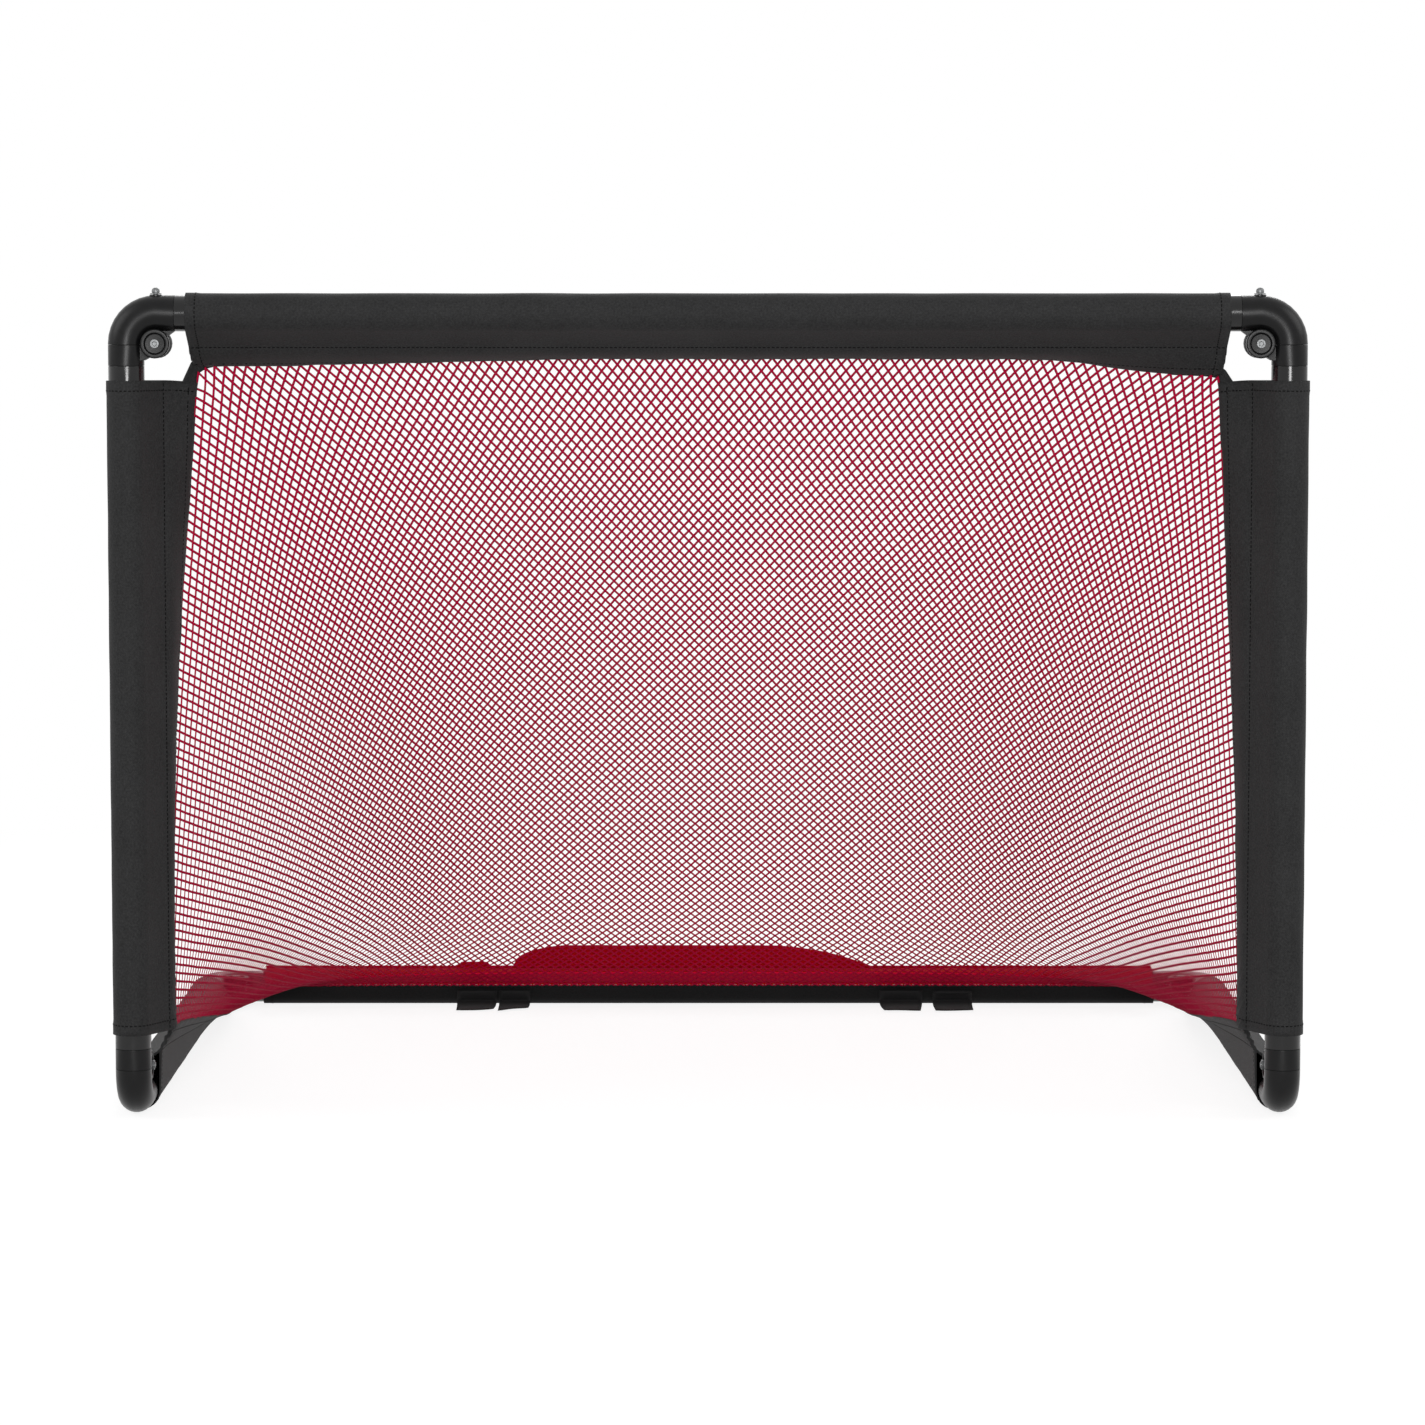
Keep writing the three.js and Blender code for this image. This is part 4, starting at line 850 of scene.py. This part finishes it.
kGrid, lGrid = np.meshgrid(np.arange(-perSide, columns + perSide + 1), np.arange(rows + 1), indexing="ij")
earWidth = np.minimum(lGrid, rows - lGrid)
isKnot = ((kGrid + lGrid) % 2 == 0) & (kGrid >= -earWidth) & (kGrid <= columns + earWidth)
k, l = kGrid[isKnot], lGrid[isKnot]
index = np.full(kGrid.shape, -1)
index[isKnot] = np.arange(len(k))
knots = np.zeros((len(k), 3))
for side in sides:
    mine = k > columns / 2 if side["sign"] > 0 else k <= columns / 2
    asLeft = np.where(side["sign"] > 0, columns - k, k)[mine].astype(float)
    knots[mine] = layNet(asLeft, l[mine].astype(float), side) * [-side["sign"], 1, 1]
onHem = (l == 0) | (l == rows) | (k == -np.minimum(l, rows - l)) | (k == columns + np.minimum(l, rows - l))


def neighbour(dk, dl):
    kk, ll = k + dk + perSide, l + dl
    inside = (kk >= 0) & (kk < index.shape[0]) & (ll >= 0) & (ll <= rows)
    found = np.full(len(k), -1)
    found[inside] = index[kk[inside], ll[inside]]
    return found


around = [neighbour(1, 1), neighbour(1, -1), neighbour(-1, -1), neighbour(-1, 1)]
free = np.flatnonzero(~onHem)
beside = np.stack([a[free] for a in around])
fromMiddle = (k[free] - columns / 2) / (columns / 2)  # -1 and 1 where the back folds into the side panels
hang = mix(1, netting["sideDroop"], np.clip(np.abs(fromMiddle) * 2 - 1, 0, 1))
sag = hang * netting["droop"] / netting["settleSteps"]
atHeight = np.exp(-((knots[free, 2] / netting["cornerHeight"] - 1) ** 2))
nearCorner = atHeight * np.clip(knots[free, 1] / rearY, 0, 1) ** netting["cornerFade"]
inward = np.minimum(np.abs(fromMiddle), 1) * netting["draw"]
outer = np.clip(np.abs(fromMiddle) / 0.3 - 2, 0, 1)  # from 0.6 to 0.9 of the way out
inward += nearCorner * outer * netting["cornerDraw"]
pull = -np.sign(fromMiddle) * inward / netting["settleSteps"]
for step in range(netting["settleSteps"]):
    knots[free] = knots[beside].mean(axis=0)
    knots[free, 0] += pull
    knots[free, 2] = np.maximum(knots[free, 2] - sag, netting["floorGap"])
knots[:, 1] += frontY
print("netting settled:", len(k), "knots")

# Corner patches: cloth from the crossbar's flap to the top of the post's, cut to the net's rounded corner
patch = {
    "columns": 10, "overlap": 0.004, "under": 0.0028, "foot": 0.012, "lap": 0.002, "behind": 0.0018,
    "thickness": 0.0012, "acrossSteps": 7, "finer": 4,
}


def alongEdge(edge, track):
    edge = np.array(edge)
    return np.stack([np.interp(track, np.arange(len(edge)), edge[:, c]) for c in range(3)], axis=1)


for side in sides:
    atLeft = side["sign"] < 0
    down, out = crossbarFlap(0.0 if atLeft else 1.0), postFlap(1.0, side)
    behindBar = np.array([0, -down[2], down[1]]) * patch["behind"]
    behindPost = np.array([side["sign"] * out[1], -side["sign"] * out[0], 0]) * patch["behind"]
    outer, inner = [], []
    for column in range(patch["columns"], -1, -2):
        share = column / columns if atLeft else 1 - column / columns
        outer.append(crossbarAxis(share) + down * (cloth["flapReach"] - patch["overlap"]) + behindBar)
        knot = knots[index[(column if atLeft else columns - column) + perSide, 0]] - atFront
        inner.append(knot + down * patch["under"] + behindBar)
    foot = postAxis(1.0, side) - [0, 0, patch["overlap"]] + behindPost
    outer.append(foot + out * (cloth["flapReach"] - patch["lap"] - patch["foot"]))
    inner.append(foot + out * (cloth["flapReach"] + patch["under"]))
    track = np.linspace(0, len(outer) - 1, patch["finer"] * len(outer))
    across = np.linspace(0, 1, patch["acrossSteps"])[None, :, None]
    grid = mix(alongEdge(outer, track)[:, None], alongEdge(inner, track)[:, None], across) + atFront
    addCloth(side["name"] + "_corner_cloth", "front", grid, patch["thickness"], "sleeve_black",
             (side["name"] + "_corner_patch",))
print("corner patches made")


def meanOfNear(choice):
    total, count = np.zeros_like(knots), np.zeros(len(knots))
    for a in choice:
        there = a >= 0
        total[there] += knots[a[there]]
        count += there
    return np.where(count[:, None] > 0, total / np.maximum(count, 1)[:, None], knots)


acrossNet = unit(meanOfNear([around[0], around[1]]) - meanOfNear([around[2], around[3]]))
downNet = meanOfNear([around[0], around[3]]) - meanOfNear([around[1], around[2]])
facingNet = unit(np.cross(acrossNet, downNet))
downNet = unit(np.cross(facingNet, acrossNet))


def foldTurn(up, back):  # share of the base's turn that a knot makes, by its steps up and back from the pin
    turned = 1 - np.arctan2(np.maximum(up, 0), np.maximum(back, 0)) / (math.pi / 2)
    return turned * groundHemTurn(np.clip(back / perSide, 0, 1))


slopeShare = l / rows
upSteps = np.where(k < 0, (k - l) / 2 + perSide, perSide * (1 - slopeShare))
upSteps = np.where(k > columns, (columns - k - l) / 2 + perSide, upSteps)
backSteps = np.where(k < 0, (k + l) / 2, np.where(k > columns, (columns - k + l) / 2, perSide * slopeShare))
knotTurn = foldTurn(upSteps, backSteps)

# Hem tape: a crimson band behind the netting, just above the rear bar
tapeRows = np.linspace(netting["tapeTo"], netting["tapeFrom"], netting["tapeSteps"])
tapeColumns = np.arange(1, columns, 1)


def netAt(column, row):  # a point of the back panel, between its knots
    def place(values, kk, ll):
        even = (kk + ll) % 2 == 0
        onLeft = index[np.where(even, kk, kk - 1) + perSide, ll]
        onRight = index[np.where(even, kk, kk + 1) + perSide, ll]
        return (values[onLeft] + values[onRight]) / 2

    low = int(math.floor(row))
    part = row - low
    behind = knots + facingNet * netting["tapeBehind"]
    return place(behind, column, rows - low) * (1 - part) + place(behind, column, rows - low - 1) * part


tapeGrid = np.stack([netAt(tapeColumns, row) for row in tapeRows], axis=1)
tape = addCloth("net_hem_tape", None, tapeGrid, netting["tapeThickness"], "netting_red", (), hemTapeFinish)
tapeBack = perSide * (1 - tapeRows / rows)
bendWith(tape, np.tile(foldTurn(perSide - tapeBack, tapeBack), 2 * len(tapeColumns)))
print("hem tape made")

dice = np.random.default_rng(4)
knots[free] += dice.normal(0, netting["unevenness"], (len(free), 3))


def twineBetween(starts, ends, facing):  # flattish, and open at its ends, which lie inside the knots
    along = unit(ends - starts)
    sideways = unit(np.cross(facing, along))
    outward = np.cross(along, sideways)
    ring = np.stack([sideways * netting["twineWidth"], outward * netting["twineDepth"]], axis=1) / 2
    ring = np.concatenate([ring, -ring], axis=1)
    vertices = np.concatenate([starts[:, None] + ring, ends[:, None] + ring], axis=1)
    faces = np.array([[0, 1, 5, 4], [1, 2, 6, 5], [2, 3, 7, 6], [3, 0, 4, 7]])
    return vertices.reshape(-1, 3), (faces[None] + 8 * np.arange(len(starts))[:, None, None]).reshape(-1, 4)


def knotBeads(centres, across, down, facing):
    corners = np.array([[1, 0, 0], [0, 1, 0], [-1, 0, 0], [0, -1, 0], [0, 0, 1], [0, 0, -1]], float)
    size = np.array([netting["knotWidth"], netting["knotLength"], netting["knotDepth"]]) / 2
    axes = np.stack([across, down, facing], axis=1)
    vertices = centres[:, None] + np.einsum("vc,ncd->nvd", corners * size, axes)
    face = np.array([[0, 1, 4], [1, 2, 4], [2, 3, 4], [3, 0, 4], [1, 0, 5], [2, 1, 5], [3, 2, 5], [0, 3, 5]])
    faces = (face[None] + (np.arange(len(centres)) * 6)[:, None, None]).reshape(-1, 3)
    return vertices.reshape(-1, 3), faces


def addNetPiece(name, low, high):
    mine = (k >= low) & (k < high)
    starts, ends = [], []
    for a in (around[0], around[1]):
        chosen = np.flatnonzero(mine & (a >= 0))
        starts.append(chosen)
        ends.append(a[chosen])
    starts, ends = np.concatenate(starts), np.concatenate(ends)
    twine, twineFaces = twineBetween(knots[starts], knots[ends], facingNet[starts])
    own = np.flatnonzero(mine)
    beads, beadFaces = knotBeads(knots[own], acrossNet[own], downNet[own], facingNet[own])
    faces = twineFaces.tolist() + (beadFaces + len(twine)).tolist()
    piece = addPiece(name, np.concatenate([twine, beads]), faces, None, "netting_red")
    twineTurn = np.repeat(np.stack([knotTurn[starts], knotTurn[ends]], axis=1), 4, axis=1)
    bendWith(piece, np.concatenate([twineTurn.ravel(), np.repeat(knotTurn[own], 6)]))
    return piece


bands = [-perSide - 1, 0, columns // 4, columns // 2, 3 * columns // 4, columns, columns + perSide + 1]
bandNames = ["net_left_side", "net_back_1", "net_back_2", "net_back_3", "net_back_4", "net_right_side"]
for name, low, high in zip(bandNames, bands[:-1], bands[1:]):
    isSide = name.endswith("side")
    if isSide:
        sideName = name.split("_")[1]
        hems = [sideName + "_post_cloth", sideName + "_ground_cloth"]
        addNetPiece(name, low, high)
    else:
        hems = ["crossbar_cloth", "rear_bar_cloth"]
        addNetPiece(name, low, high)
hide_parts("net")
